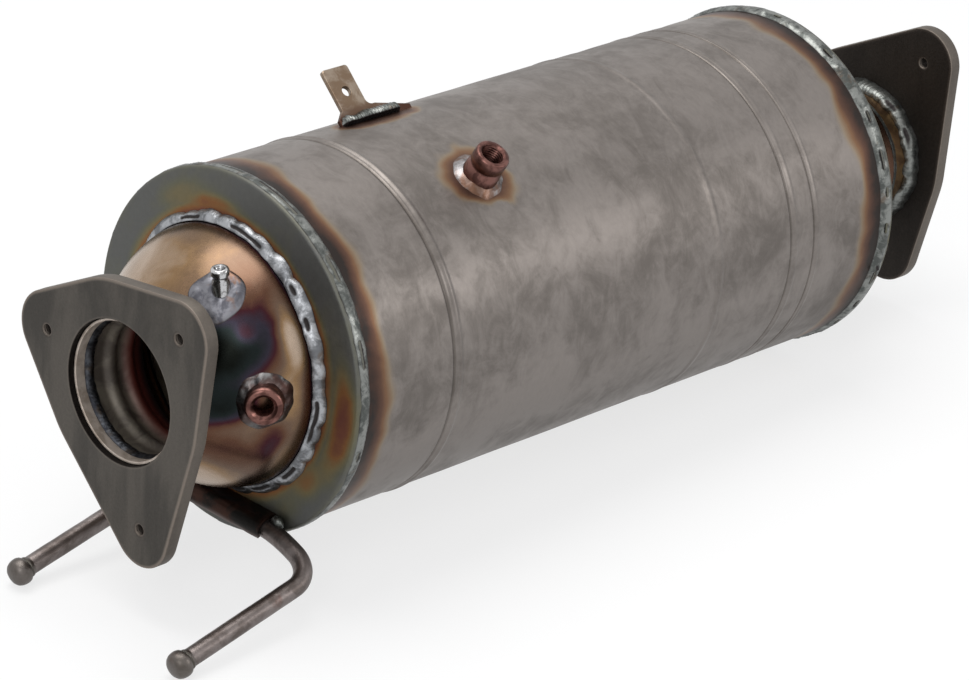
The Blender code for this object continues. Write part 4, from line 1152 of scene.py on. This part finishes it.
def bell_tint_and_painted_light(face, pipe, spots):
    """A rule for how far the heat took each point of a bell, 0 straw and 1 black, with painted
    highlights and painted shade laid in from the spots.
    """
    def heat_tint_and_light(point):
        distance = abs(face - point.x)
        middle = bell_middle(distance, pipe)
        radius = hypot(point.y - middle.y, point.z - middle.z)
        around = degrees(atan2(point.z - middle.z, middle.y - point.y))
        stray = rough(point, 55.0, 8.0) * 0.06 + rough(point, 18.0, 2.0) * 0.10
        level = BELL_PLAIN + stray + 0.10 * eased(distance, *NECK_TINT)
        level += 0.12 * (1.0 - eased(distance, *BASE_TINT))
        level = painted(level, distance, around, spots, radius)
        by_weld = 0.66 * (1.0 - eased(distance, *WELD_TINT))
        return min(max(level, by_weld, 0.0), 1.0)
    return heat_tint_and_light


class CANISTER_OT_bells(bpy.types.Operator):
    """Make the inlet and outlet bell cones"""
    bl_idname = "canister.bells"
    bl_label = "Bell Cones"

    def execute(self, context):
        sheet = context.scene.canister_sizes.sheet
        outside = cone_profile()
        section = outside + [(distance, radius - sheet) for distance, radius in reversed(outside)]
        for name, node, face, direction, pipe, spots in (
                ("inlet_bell", "inlet_cone", INLET_CAP_FACE, -1.0, INLET_PIPE, INLET_BELL_SPOTS),
                ("outlet_bell", "outlet_cone", OUTLET_CAP_FACE, 1.0, OUTLET_PIPE, OUTLET_BELL_SPOTS)):
            profile = [(face + direction * distance, radius) for distance, radius in section]
            lathe(name, profile, bell_finish(name + "_steel"), "heat_tinted_steel", node, steps=240,
                  middle=lambda x: bell_middle(abs(x - face), pipe),
                  marks={"oxide": bell_tint_and_painted_light(face, pipe, spots)})
        return {"FINISHED"}


class CANISTER_OT_ring_welds(bpy.types.Operator):
    """Lay the ring beads on the bells, the caps and the pipes"""
    bl_idname = "canister.ring_welds"
    bl_label = "Ring Welds"

    def execute(self, context):
        sizes, welds = context.scene.canister_sizes, context.scene.canister_welds
        shell = sizes.shell_radius
        neck = context.scene.canister_cones.neck
        base = context.scene.canister_cones.base + 0.1 * MM
        lip = LIP_RADIUS - sizes.lip_drop + 0.05 * MM
        for side, face, direction, seed, blobs in (("inlet", INLET_CAP_FACE, -1.0, 1.7, ()),
                                                   ("outlet", OUTLET_CAP_FACE, 1.0, 6.2, RIM_SPATTER)):
            bead_ring(side + "_bell_bead", (face, base), (face + direction * welds.bell_leg, base),
                      (face, base + welds.bell_rise), 1.1 * MM, "bell", side + "_cone_weld",
                      steps=540, seed=seed, pit_start=-0.02, pit_line=0.34, wander=0.14, scallop=0.75)
            toe = face - direction * sizes.lip_depth
            bead_ring(side + "_rim_bead", (toe, shell), (toe + direction * welds.rim_lap, lip),
                      (toe - direction * welds.rim_leg, shell), 1.05 * MM, "rim", side + "_cap_weld",
                      steps=720, seed=seed + 30.0, wander=0.13, pit_start=0.10, pit_line=0.45,
                      blobs=blobs)
        back, front = FLANGE_THICKNESS, OUTLET_FLANGE_FRONT
        start = reach("outlet_pipe_weld", 0)[0]
        pipe = outer_radius("outlet_pipe")
        bead_ring("inlet_flange_bead", (back, neck), (back + welds.pipe_leg, neck),
                  (back, neck + welds.pipe_rise), 0.6 * MM, "rim", "inlet_flange_weld", inlet_line,
                  seed=15.0)
        bead_ring("outlet_pipe_bead", (start, pipe), (start, neck), (start + welds.pipe_leg, pipe),
                  0.6 * MM, "rim", "outlet_pipe_weld", outlet_line, seed=25.0)
        bead_ring("outlet_collar_bead", (front, pipe), (front, pipe + welds.collar_rise),
                  (front - welds.collar_leg, pipe), 2.2 * MM, "rim", "outlet_flange_weld",
                  outlet_line, seed=28.0, wander=0.24, pit_start=0.05)
        return {"FINISHED"}


class CANISTER_OT_end_caps(bpy.types.Operator):
    """Make the pressed end caps"""
    bl_idname = "canister.end_caps"
    bl_label = "End Caps"

    def execute(self, context):
        sizes = context.scene.canister_sizes
        seat = sizes.shell_radius + JOIN_GAP
        inward = 0.15 * MM
        lip = LIP_RADIUS - sizes.lip_drop
        corner = rounded((0.0, sizes.cap_hole), (0.0, lip), (sizes.lip_depth, lip), sizes.lip_corner, 7)
        bands = [(0.0, sizes.cap_hole + (lip - sizes.lip_corner - sizes.cap_hole) * step / 14)
                 for step in range(14)]
        section = bands + corner + [(sizes.lip_depth, lip), (sizes.lip_depth, seat),
                                    (sizes.cap_sheet, seat), (sizes.cap_sheet, sizes.cap_hole)]
        base = context.scene.canister_cones.base

        def heat_tint_and_light(point):
            radius = hypot(point.y, point.z)
            around = degrees(atan2(point.z, -point.y))
            spread = 6.5 * MM * (1.0 + 0.9 * rough(point, 16.0, 3.0))
            level = 0.70 * (1.0 - eased(radius, base + 4.0 * MM, base + 6.0 * MM + spread))
            level += eased(radius, LIP_RADIUS - 4.0 * MM, LIP_RADIUS) * 0.12
            return min(max(level, painted(0.0, radius, around, CAP_SPOTS, radius)), 1.0)

        def uneven(x, radius, turn):
            spot = (x, radius * cos(turn), radius * sin(turn))
            return x + inward * rough(spot, 40.0, 5.0), radius

        for name, node, face, direction in (
                ("inlet_cap_pressing", "inlet_end_cap", INLET_CAP_FACE, 1.0),
                ("outlet_cap_pressing", "outlet_end_cap", OUTLET_CAP_FACE, -1.0)):
            profile = [(face + direction * (x + inward), radius) for x, radius in section]
            lathe(name, profile, cap_finish(name + "_steel"), "cap_steel", node, steps=sizes.steps,
                  shape=uneven, marks={"oxide": heat_tint_and_light})
        return {"FINISHED"}


# From one ring of the shell's points to the next, and points across half a swage
RING_PITCH = 2.4 * MM
SWAGE_STEPS = 6

# How far heat tint reaches over the shell: from each rim, round the boss and round the tab
INLET_TINT, OUTLET_TINT = 19.0 * MM, 22.0 * MM
BOSS_HALO = 9.0 * MM, 27.0 * MM
TAB_HALO = 12.0 * MM


class CANISTER_OT_shell(bpy.types.Operator):
    """Make the rolled shell with its swages, dents and heat tint"""
    bl_idname = "canister.shell"
    bl_label = "Shell"

    def execute(self, context):
        sizes = context.scene.canister_sizes
        heat_tint_and_light = self.heat_rule(sizes)
        mesh = Mesh()
        rows = []
        for x in self.stations():
            points, heats, painted_shades = [], [], []
            # Painted shade: the swage grooves are darkened, and the shell darkens towards its bottom
            groove_shade = min(max(-swage_height(x) / (0.5 * MM), 0.0), 1.0) * 0.55
            for turn in turns(sizes.steps):
                bare = (x, -sizes.shell_radius * cos(turn), sizes.shell_radius * sin(turn))
                radius = shell_skin(bare)
                point = Vector((x, -radius * cos(turn), radius * sin(turn)))
                points.append(point)
                heats.append(heat_tint_and_light(bare, point))
                painted_shades.append(max(groove_shade, 0.32 * eased(-point.z, 0.0, 80.0 * MM)))
            rows.append(mesh.row(points, oxide=heats, grime=painted_shades))
        for x in (SHELL_END, SHELL_START):
            rows.append(mesh.row(circle(x, sizes.shell_radius - sizes.sheet, sizes.steps)))
        mesh.skin(rows, loop=True)
        mesh.piece("rolled_shell", shell_finish(), "shell_steel", "shell")
        return {"FINISHED"}

    def stations(self):
        """Where the shell's rings of points lie, closer together over each swage."""
        run = SHELL_END - SHELL_START
        count = int(run / RING_PITCH)
        places = {round(SHELL_START + run * step / count, 6) for step in range(count + 1)}
        for centre, width, _ in SWAGES:
            places.update(round(centre + width / 2 * step / SWAGE_STEPS, 6)
                          for step in range(-SWAGE_STEPS, SWAGE_STEPS + 1))
        return sorted(places)

    def heat_rule(self, sizes):
        """Heat tint beside the two rim beads, round the sensor boss and round the tab."""
        boss_foot = Vector((SENSOR_STATION, 0.0, 0.0)) + radial(SENSOR_ANGLE) * sizes.shell_radius
        tab_low, tab_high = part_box("tab_weld")
        rim_in, rim_out = reach("inlet_cap_weld", 0)[1], reach("outlet_cap_weld", 0)[0]

        def heat_tint_and_light(bare, point):
            stray = 1.0 + 0.45 * rough(bare, 22.0, 4.4) + 0.25 * rough(bare, 70.0, 6.4)
            near = 1.0 - eased(point.x - rim_in, -1.0 * MM, INLET_TINT * stray)
            far = 1.0 - eased(rim_out - point.x, -1.0 * MM, OUTLET_TINT * stray)
            spread = 1.0 + 0.35 * rough(bare, 55.0, 12.0) + 0.2 * rough(bare, 140.0, 2.0)
            halo = 1.0 - eased((point - boss_foot).length, BOSS_HALO[0], BOSS_HALO[1] * spread)
            gap = sum(max(tab_low[axis] - point[axis], point[axis] - tab_high[axis], 0.0)
                      for axis in (0, 1))
            by_tab = (1.0 - eased(gap, 0.0, TAB_HALO * spread)) * (0.7 if point.z > 0.0 else 0.0)
            return min(1.0, max(near ** 1.5, far ** 1.3, halo * 0.8, by_tab))
        return heat_tint_and_light


# Each boss from its foot up: height and radius in millimetres
SENSOR_BUNG = ((0.0, 9.9), (1.0, 9.9), (8.0, 9.7), (9.4, 8.7), (10.4, 8.6), (11.6, 9.4), (17.8, 9.4),
               (18.6, 9.0), (19.0, 8.2))
PROBE_BUNG = ((0.0, 10.2), (2.0, 10.2), (7.4, 10.2), (9.0, 9.7), (9.7, 8.9), (10.0, 8.0))
STUB = ((0.0, 4.8), (4.6, 4.8), (6.0, 4.6), (7.4, 4.0), (8.4, 3.8), (9.4, 4.0), (10.2, 4.7),
        (12.8, 4.8), (13.7, 4.3), (14.0, 3.7))


class CANISTER_OT_bosses(bpy.types.Operator):
    """Make the sensor boss, the probe boss and the pressure stub with their welds"""
    bl_idname = "canister.bosses"
    bl_label = "Bosses"

    def execute(self, context):
        way = radial(SENSOR_ANGLE)
        foot = Vector((SENSOR_STATION, 0.0, 0.0)) + way * context.scene.canister_sizes.shell_radius
        seat = foot, way, above_shell
        turned_boss("shell_sensor_bung", seat, SENSOR_BUNG, copper_finish("shell_bung_copper"),
                    "copper_plate", "shell_sensor_boss", bore=6.2 * MM, floor_depth=3.0 * MM)
        boss_bead("shell_bung_bead", seat, "boss", "shell_boss_weld", inner=9.7 * MM, width=5.0 * MM,
                  height=3.4 * MM, seed=31.0, heap=0.4)

        seat = *place_on_bell(*PROBE_PLACE), above_bell
        turned_boss("probe_bung", seat, PROBE_BUNG, copper_finish("probe_bung_copper"),
                    "copper_plate", "probe_boss", bore=5.5 * MM, tip=1.4 * MM)
        boss_bead("probe_bung_bead", seat, "probe", "probe_boss_weld", inner=10.0 * MM, width=4.6 * MM,
                  height=4.0 * MM, seed=45.0, lumps=0.6, heap=0.5)

        seat = *place_on_bell(*STUB_PLACE), above_bell
        turned_boss("pressure_stub_turned", seat, STUB, bright_finish(), "bright_steel",
                    "pressure_stub", bore=2.6 * MM, pitch=1.0 * MM, depth=0.3 * MM, tip=0.5 * MM)
        boss_bead("pressure_stub_bead", seat, "puddle", "stub_weld", inner=4.6 * MM, width=9.4 * MM,
                  height=3.4 * MM, seed=52.0, heap=0.85, across=20)
        return {"FINISHED"}


def swept_bar(name, path, radii, finish, slot, *nodes, sides=32, grime=None):
    """A round bar along a path with closed, rounded ends."""
    mesh = Mesh()
    rows = []
    side = Vector((0.0, 0.0, 1.0))
    for index, point in enumerate(path):
        before, after = path[max(index - 1, 0)], path[min(index + 1, len(path) - 1)]
        along = (after - before).normalized()
        side = (side - along * side.dot(along)).normalized()
        across = along.cross(side)
        ring = []
        for turn in turns(sides):
            spot = point + (side * cos(turn) + across * sin(turn)) * radii[index]
            ring.append(spot + (spot - point) * 0.02 * rough(spot, 160.0, 3.0))
        rows.append(mesh.row(ring, grime=[grime[index]] * sides))
    mesh.skin(rows)
    mesh.cap(rows[0], rows[-1])
    return mesh.piece(name, finish, slot, *nodes, sharp=radians(60.0))


# A knob from the arm to its tip: distance from the tip and radius in millimetres, as drawn
# for a knob of KNOB_DRAWN, and how dull it is
KNOB_DRAWN = 7.85
KNOB_SECTION = ((12.0, 5.3, 0.3), (11.2, 5.9, 0.6), (10.4, 6.1, 0.5), (9.9, 5.5, 1.0), (9.4, 5.6, 1.0),
                (9.0, 6.6, 0.5), (8.2, 7.4, 0.5), (6.8, 7.85, 0.5), (5.2, 7.85, 0.5), (3.4, 7.5, 0.5),
                (1.9, 6.7, 0.5), (0.8, 5.4, 0.5), (0.2, 3.6, 0.5), (0.0, 1.6, 0.5))


class CANISTER_OT_hanger(bpy.types.Operator):
    """Make the bent hanger rod, its knobs, its saddle and its welds"""
    bl_idname = "canister.hanger"
    bl_label = "Hanger"

    rod: length("Rod", "Radius of the rod", 5.0)
    knob: length("Knob", "Radius of a knob", 7.3)
    drop: length("Drop", "From the canister's axis down to the rod", 82.0)
    spacing: length("Spacing", "From one arm to the other", 122.7)
    flat: length("Flat", "Half the rod's straight middle", 20.0)
    sag: length("Sag", "How far the rod curves down to its bends", 5.6)
    bend: length("Bend", "Length of the rod's bend", 14.0)
    arm: length("Arm", "Length of an arm", 97.5)
    droop: angle("Droop", "Slope of an arm", 13.8)

    def execute(self, context):
        low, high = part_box("hanger_rod")
        middle = Vector((INLET_CAP_FACE - JOIN_GAP - self.rod, (low.y + high.y) / 2, -self.drop))
        points, radii, grime = self.half_rod()
        flipped = [Vector((point.x, -point.y, point.z)) for point in points]
        path = [middle + point for point in flipped[:0:-1] + points]
        swept_bar("hanger_bent_rod", path, radii[:0:-1] + radii, rod_finish(), "bright_steel",
                  "hanger_rod", grime=grime[:0:-1] + grime)
        self.saddle(middle)
        self.welds()
        return {"FINISHED"}

    def half_rod(self):
        """The rod from its middle to one knob's tip: points, radii and how dull it is."""
        straight = self.spacing / 2 - self.bend
        curve = self.sag / (straight - self.flat) ** 2
        points = []
        for step in range(25):
            across = straight * step / 24
            points.append(Vector((0.0, across, -curve * max(0.0, across - self.flat) ** 2)))
        enter = Vector((0.0, 1.0, -2 * curve * (straight - self.flat))).normalized()
        leave = Vector((-cos(self.droop), 0.0, -sin(self.droop)))
        corner = points[-1] + enter * (self.bend / enter.y)
        tip = corner + leave * self.arm
        points += arc(points[-1].copy(), corner, corner + leave * self.bend, 18)[1:]
        elbow = points[-1].copy()
        run = (tip - elbow).length - (KNOB_SECTION[0][0] + 0.5) * MM
        points += [elbow + leave * run * step / 11 for step in range(1, 12)]
        radii = [self.rod] * len(points)
        grime = [0.0] * len(points)
        for back, radius, dull in KNOB_SECTION:
            points.append(tip - leave * back * MM)
            radii.append(radius / KNOB_DRAWN * self.knob)
            grime.append(dull)
        return points, radii, grime

    def saddle(self, middle):
        """The sheet wrapped round the rod, from the cap over the top to below it."""
        width, thickness, start, wrap, columns = 52.0 * MM, 1.7 * MM, 90.0, 118.0, 40
        inner = self.rod + 0.5 * MM
        outer = inner + thickness
        edge = INLET_CAP_FACE - 0.2 * MM
        section = [(edge, outer, start)]
        section += [(None, outer, start + wrap * step / 20) for step in range(21)]
        section += [(None, inner, start + wrap * step / 20) for step in range(20, -1, -1)]
        section += [(edge, inner, start)]
        mesh = Mesh()
        rows = []
        for flat_x, radius, turn in section:
            points = []
            for column in range(columns + 1):
                across = middle.y - width / 2 + width * column / columns
                bent = radius + 0.25 * MM * rough((turn * 0.002, across, 0.0), 90.0, 2.0)
                lip = 0.9 * MM * rough((0.0, across, 0.0), 60.0, 5.0) * eased(turn, 170.0, 208.0)
                if flat_x is not None:
                    points.append((flat_x, across, middle.z + radius))
                else:
                    points.append((middle.x + bent * cos(radians(turn)) + lip, across,
                                   middle.z + bent * sin(radians(turn))))
            # Painted highlight along the lower front lip
            rows.append(mesh.row(points, wear=[eased(turn, 185.0, 208.0)] * len(points)))
        mesh.skin(rows, wrap=False, loop=True)
        mesh.cap([row[0] for row in rows], [row[-1] for row in rows])
        mesh.piece("hanger_clasp", saddle_shaded_finish(), "shell_steel", "hanger_saddle")

    def welds(self):
        """A lump of weld at each end of the saddle."""
        for name, node, seed in (("hanger_left_bead", "hanger_weld_left", 3.0),
                                 ("hanger_right_bead", "hanger_weld_right", 8.0)):
            low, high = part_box(node)
            centre = (low + high) / 2
            size = (high - low) / 2
            bm = bmesh.new()
            bmesh.ops.create_icosphere(bm, subdivisions=5, radius=1.0)
            for vert in bm.verts:
                out = vert.co * size
                spot = centre + out
                vert.co = centre + out * (0.92 + 0.16 * rough(spot, 260.0, seed)
                                          + 0.05 * rough(spot, 700.0, seed))
            mesh = bpy.data.meshes.new(name)
            bm.to_mesh(mesh)
            bm.free()
            add_piece(name, mesh, weld_finish(name + "_metal", "rim"), "weld_metal", node)


# Where the tab stands: its angle, and its near edge's distance from the shell's end
TAB_ANGLE = 106.0
TAB_STATION = 100.9 * MM


class CANISTER_OT_tab(bpy.types.Operator):
    """Make the tab bracket on the crown and its weld"""
    bl_idname = "canister.tab"
    bl_label = "Tab Bracket"

    width: length("Width", "Width of the tab", 18.2)
    height: length("Height", "Height above the shell", 32.0)
    thickness: length("Thickness", "Thickness of the plate", 3.0)
    lean: angle("Lean", "Lean from square", 31.0)

    foot: length("Foot", "Length of the foot beside the tab", 27.0)
    foot_height: length("Foot Height", "Height of the foot", 7.4)
    heel: length("Heel", "How far the plate reaches out on the other side", 5.0)
    corner: length("Corner", "Radius of a top corner", 1.8)
    fillet: length("Fillet", "Radius between the foot and the tab", 3.6)
    hole: length("Hole", "Radius of the hole", 2.8)
    hole_drop: length("Hole Drop", "From the top edge to the hole's middle", 14.4)

    def execute(self, context):
        radius = context.scene.canister_sizes.shell_radius
        out, around = radial(TAB_ANGLE), radial(TAB_ANGLE + 90.0)
        rise = out * cos(self.lean) + around * sin(self.lean)
        along = Vector((1.0, 0.0, 0.0))
        face = along.cross(rise)
        spot = Vector((SHELL_START + TAB_STATION + self.width / 2, 0.0, 0.0)) + out * radius
        place = Matrix.Translation(spot) @ Matrix((along, rise, face)).transposed().to_4x4()
        self.plate(place)
        self.bead(place)
        return {"FINISHED"}

    def outline(self, inset):
        """The plate square on, drawn in by an inset: foot, tab and rounded corners."""
        left, right = -self.width / 2 + inset, self.width / 2 - inset
        top = self.height - inset
        corner, fillet = self.corner, self.fillet
        toe = self.width / 2 + self.foot - inset
        foot = self.foot_height - inset
        points = [(left - self.heel, -self.foot_height), (toe, -self.foot_height),
                  (toe, 1.6 * MM - inset), (right + fillet * 1.4, foot)]
        for centre_u, centre_v, radius, first, sweep in (
                (right + fillet, foot + fillet, fillet, 262, -82),
                (right - corner, top - corner, corner, 0, 90),
                (left + corner, top - corner, corner, 90, 90)):
            for step in range(7):
                turn = radians(first + sweep * step / 6)
                points.append((centre_u + radius * cos(turn), centre_v + radius * sin(turn)))
        points += [(left, 8.0 * MM), (left - 1.6 * MM, 6.4 * MM), (left - self.heel, 3.2 * MM)]
        return points

    def plate(self, place):
        half, edge, chamfer = self.thickness / 2, 0.45 * MM, 0.3 * MM
        mesh = Mesh()
        rims = []
        for depth, inset in ((-half, edge), (-half + edge, 0.0), (half - edge, 0.0), (half, edge)):
            outline = self.outline(inset)
            rims.append(mesh.row([place @ Vector((u, v, depth)) for u, v in outline],
                                 oxide=[1.0 - eased(v, 0.0, 14.0 * MM) for _, v in outline]))
        mesh.skin(rims)
        middle = (place @ Matrix.Translation((0.0, self.height - self.hole_drop, 0.0))
                  @ Matrix.Rotation(-pi / 2, 4, "Y"))
        mouth = self.hole + 0.25 * MM
        holes = [mesh.row(circle(depth, size, HOLE_STEPS, middle))
                 for depth, size in ((-half, mouth), (-half + chamfer, self.hole),
                                     (half - chamfer, self.hole), (half, mouth))]
        mesh.skin(holes)
        for end in (0, -1):
            fill_face(mesh, [rims[end], holes[end]])
        mesh.piece("crown_tab", tab_finish(), "bracket_steel", "tab_bracket", sharp=radians(32.0))

    def bead(self, place):
        """A lumpy run of weld in front of the plate's foot."""
        run, steps, across, ends = 41.0 * MM, 90, 10, 8
        start, face = -self.width / 2 - self.heel, self.thickness / 2
        mesh = Mesh()
        rows = []
        for index in range(across + 1):
            t = index / across
            turn = radians(100 * t - 5)
            points, grime = [], []
            for step in range(steps + 1):
                u = start + run * step / steps
                taper = min(1.0, step / ends, (steps - step) / ends) ** 0.5
                size = 4.4 * MM * (1.0 + 0.3 * rough((u, 0.0, 0.0), 110.0, 3.0)) * taper
                bulge = size * (1.0 + 0.12 * cos(2 * pi * u / (2.4 * MM) + 2 * t))
                spot = place @ Vector((u, bulge * cos(turn) * 0.9 + 0.2 * MM, face + bulge * sin(turn)))
                floor_radius = shell_skin(spot) - JOIN_GAP
                if hypot(spot.y, spot.z) < floor_radius:
                    out = Vector((0.0, spot.y, spot.z)).normalized()
                    spot = Vector((spot.x, 0.0, 0.0)) + out * floor_radius
                points.append(spot)
                # The bead's two edges darken as painted shade along its toes; elsewhere it is mottled
                # slag
                grime.append(0.8 if index in (0, across) else 0.25 * abs(rough(spot, 300.0)))
            rows.append(mesh.row(points, grime=grime))
        under = [place @ Vector((start + run * step / steps, -1.0 * MM, face - 0.2 * MM))
                 for step in range(steps + 1)]
        rows.append(mesh.row(under, grime=[1.0] * len(under)))
        mesh.skin(rows, wrap=False, loop=True)
        mesh.cap([row[0] for row in rows], [row[-1] for row in rows])
        mesh.piece("crown_tab_bead", weld_finish("crown_tab_bead_metal", "rim"), "weld_metal",
                   "tab_weld", sharp=BEAD_SHARP)


class CANISTER_OT_outlet_pipe(bpy.types.Operator):
    """Make the outlet pipe"""
    bl_idname = "canister.outlet_pipe"
    bl_label = "Outlet Pipe"

    def execute(self, context):
        start, end = reach("outlet_pipe", 0)
        outer = outer_radius("outlet_pipe")
        inner = outer - context.scene.canister_sizes.sheet
        section = [(start + (end - start) * step / 12, outer) for step in range(13)]
        section += [(end, inner), (start, inner)]
        lathe("outlet_pipe_tube", section,
              pipe_finish("outlet_pipe_steel", (0.260, 0.165, 0.080), (0.140, 0.082, 0.044), 0.26),
              "pipe_steel", "outlet_pipe", middle=outlet_line)
        return {"FINISHED"}


# Ceramic and fibre: light shade, dark shade, and the scale of the grain
WASHCOAT = (0.330, 0.270, 0.190), (0.240, 0.190, 0.130), 900.0
SOOTED_BRICK = (0.150, 0.140, 0.135), (0.060, 0.058, 0.056), 900.0
MAT_FIBRE = (0.780, 0.740, 0.680), (0.560, 0.520, 0.450), 500.0


class CANISTER_OT_monoliths(bpy.types.Operator):
    """Finish the ceramic bricks, their mats and the wire retainers"""
    bl_idname = "canister.monoliths"
    bl_label = "Bricks and Mats"

    def execute(self, context):
        for node, finish in (("oxidation_catalyst", ceramic_finish("washcoated_cordierite", *WASHCOAT)),
                             ("filter_monolith", ceramic_finish("sooted_carbide", *SOOTED_BRICK)),
                             ("catalyst_mat", ceramic_finish("catalyst_mat_fibre", *MAT_FIBRE)),
                             ("filter_mat", ceramic_finish("filter_mat_fibre", *MAT_FIBRE)),
                             ("filter_front_retainer", wire_mesh_finish("front_knitted_wire")),
                             ("filter_rear_retainer", wire_mesh_finish("rear_knitted_wire"))):
            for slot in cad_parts[node].material_slots:
                slot.material = finish
        return {"FINISHED"}


# Camera, as solved from the photograph
CAMERA_EYE = Vector((-1.3613, -1.4975, 0.9619))
CAMERA_AIM = Vector((0.2690, 0.0032, -0.0482))
CAMERA_ROLL = radians(4.93)
CAMERA_LENS = 166.3
CAMERA_SENSOR = 36.0

# How much of the floor is plain white to the camera, so that its shadow stays soft
FLOOR_GLOW = 0.72
FLOOR_HALF = 14.0

# Light from all round, and where the lamps point. Each lamp: place, size, watts and colour
FILL_COLOUR, FILL_STRENGTH = (0.93, 0.96, 1.0), 0.55
WHITE = (1.0, 1.0, 1.0)
LAMP_AIM = Vector((0.26, 0.0, 0.0))
LAMPS = {
    "overhead_softbox": ((0.1, 0.35, 1.9), 1.6, 26.0, (1.0, 0.99, 0.97)),
    "front_softbox": ((-1.7, -1.1, 1.3), 1.1, 11.0, WHITE),
    "side_strip": ((1.3, -1.9, 1.0), 0.8, 9.0, (1.0, 0.98, 0.96)),
}


class CANISTER_OT_studio(bpy.types.Operator):
    """Set up the floor, the surroundings, the lamps and the camera"""
    bl_idname = "canister.studio"
    bl_label = "Studio"

    def execute(self, context):
        self.camera(context)
        self.ground(context)
        self.surroundings(context)
        self.lamps(context)
        context.scene.view_settings.view_transform = "Standard"
        return {"FINISHED"}

    def camera(self, context):
        lens = bpy.data.cameras.new("studio_camera")
        lens.lens = CAMERA_LENS
        lens.sensor_width = CAMERA_SENSOR
        lens.clip_start, lens.clip_end = 0.05, 50.0
        back = (CAMERA_EYE - CAMERA_AIM).normalized()
        level = Vector((0.0, 0.0, 1.0)).cross(back).normalized()
        raised = back.cross(level)
        right = level * cos(CAMERA_ROLL) + raised * sin(CAMERA_ROLL)
        up = back.cross(right)
        turn = Matrix((right, up, back)).transposed().to_4x4()
        camera = bpy.data.objects.new("studio_camera", lens)
        camera.matrix_world = Matrix.Translation(CAMERA_EYE) @ turn
        context.collection.objects.link(camera)
        context.scene.camera = camera

    def ground(self, context):
        """A floor through the two knobs and the rear rim, on which the part rests."""
        low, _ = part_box("hanger_rod")
        knob_x, knob_z = low.x + 6.0 * MM, low.z
        rim_low, rim_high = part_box("outlet_end_cap")
        slope = (rim_low.z - knob_z) / (rim_high.x - knob_x)
        middle_x = (knob_x + rim_high.x) / 2
        middle_z = (rim_low.z + knob_z) / 2 - JOIN_GAP
        corners = [(x, y, middle_z + slope * (x - middle_x)) for x, y in (
            (-FLOOR_HALF, -FLOOR_HALF), (FLOOR_HALF, -FLOOR_HALF),
            (FLOOR_HALF, FLOOR_HALF), (-FLOOR_HALF, FLOOR_HALF))]
        mesh = bpy.data.meshes.new("studio_floor")
        mesh.from_pydata(corners, [], [(0, 1, 2, 3)])
        made = Finish("studio_floor_paper")
        made.done(made.colours.backdrop, 0.9, 0.0)
        made.shader.inputs["Specular IOR Level"].default_value = 0.2
        paper = Wire(made, made.shader.outputs["BSDF"])
        glow = made.node("ShaderNodeEmission", None, {"Color": WHITE, "Strength": 1.0})
        mixed = made.node("ShaderNodeMixShader", None, {0: made.seen() * FLOOR_GLOW, 1: paper, 2: glow})
        made.feed(made.tree.nodes["Material Output"].inputs["Surface"], mixed)
        mesh.materials.append(made.material)
        ground = bpy.data.objects.new("studio_floor", mesh)
        context.collection.objects.link(ground)

    def surroundings(self, context):
        """White to the camera and in reflections, softer as light."""
        world = bpy.data.worlds.new("studio_world")
        context.scene.world = world
        world.use_nodes = True
        world.node_tree.nodes.clear()
        sky = Nodes(world.node_tree)
        fill = sky.node("ShaderNodeBackground", None, {"Color": FILL_COLOUR, "Strength": FILL_STRENGTH})
        white = sky.node("ShaderNodeBackground", None, {"Color": WHITE, "Strength": 1.0})
        mixed = sky.node("ShaderNodeMixShader", None, {0: sky.seen(), 1: fill, 2: white})
        sky.add("ShaderNodeOutputWorld", None, {"Surface": mixed})

    def lamps(self, context):
        for name, (place, size, power, tone) in LAMPS.items():
            lamp = bpy.data.lights.new(name, "AREA")
            lamp.shape = "DISK"
            lamp.size = size
            lamp.energy = power
            lamp.color = tone
            thing = bpy.data.objects.new(name, lamp)
            thing.location = place
            thing.rotation_mode = "QUATERNION"
            thing.rotation_quaternion = (LAMP_AIM - Vector(place)).to_track_quat("-Z", "Y")
            context.collection.objects.link(thing)


OPERATORS = (
    CANISTER_OT_studio,
    CANISTER_OT_shell,
    CANISTER_OT_end_caps,
    CANISTER_OT_bells,
    CANISTER_OT_ring_welds,
    CANISTER_OT_flanges,
    CANISTER_OT_inlet_pipework,
    CANISTER_OT_outlet_pipe,
    CANISTER_OT_bosses,
    CANISTER_OT_tab,
    CANISTER_OT_hanger,
    CANISTER_OT_monoliths,
)


class CANISTER_PT_panel(bpy.types.Panel):
    """Lists the canister's pieces, sizes and colours"""
    bl_idname = "CANISTER_PT_panel"
    bl_label = "Canister"
    bl_space_type = "VIEW_3D"
    bl_region_type = "UI"
    bl_category = "Canister"

    def draw(self, context):
        column = self.layout.column()
        for operator in OPERATORS:
            column.operator(operator.bl_idname)
        for setting, group in SETTINGS.items():
            box = column.box()
            for name in group.__annotations__:
                box.prop(getattr(context.scene, setting), name)


def register():
    for group in SETTINGS.values():
        bpy.utils.register_class(group)
    for setting, group in SETTINGS.items():
        setattr(bpy.types.Scene, setting, PointerProperty(type=group))
    for operator in OPERATORS:
        bpy.utils.register_class(operator)
    bpy.utils.register_class(CANISTER_PT_panel)


def unregister():
    bpy.utils.unregister_class(CANISTER_PT_panel)
    for operator in reversed(OPERATORS):
        bpy.utils.unregister_class(operator)
    for setting in SETTINGS:
        delattr(bpy.types.Scene, setting)
    for group in reversed(list(SETTINGS.values())):
        bpy.utils.unregister_class(group)


def main():
    register()
    for operator in OPERATORS:
        family, name = operator.bl_idname.split(".")
        getattr(getattr(bpy.ops, family), name)()


if __name__ == "__main__":
    main()
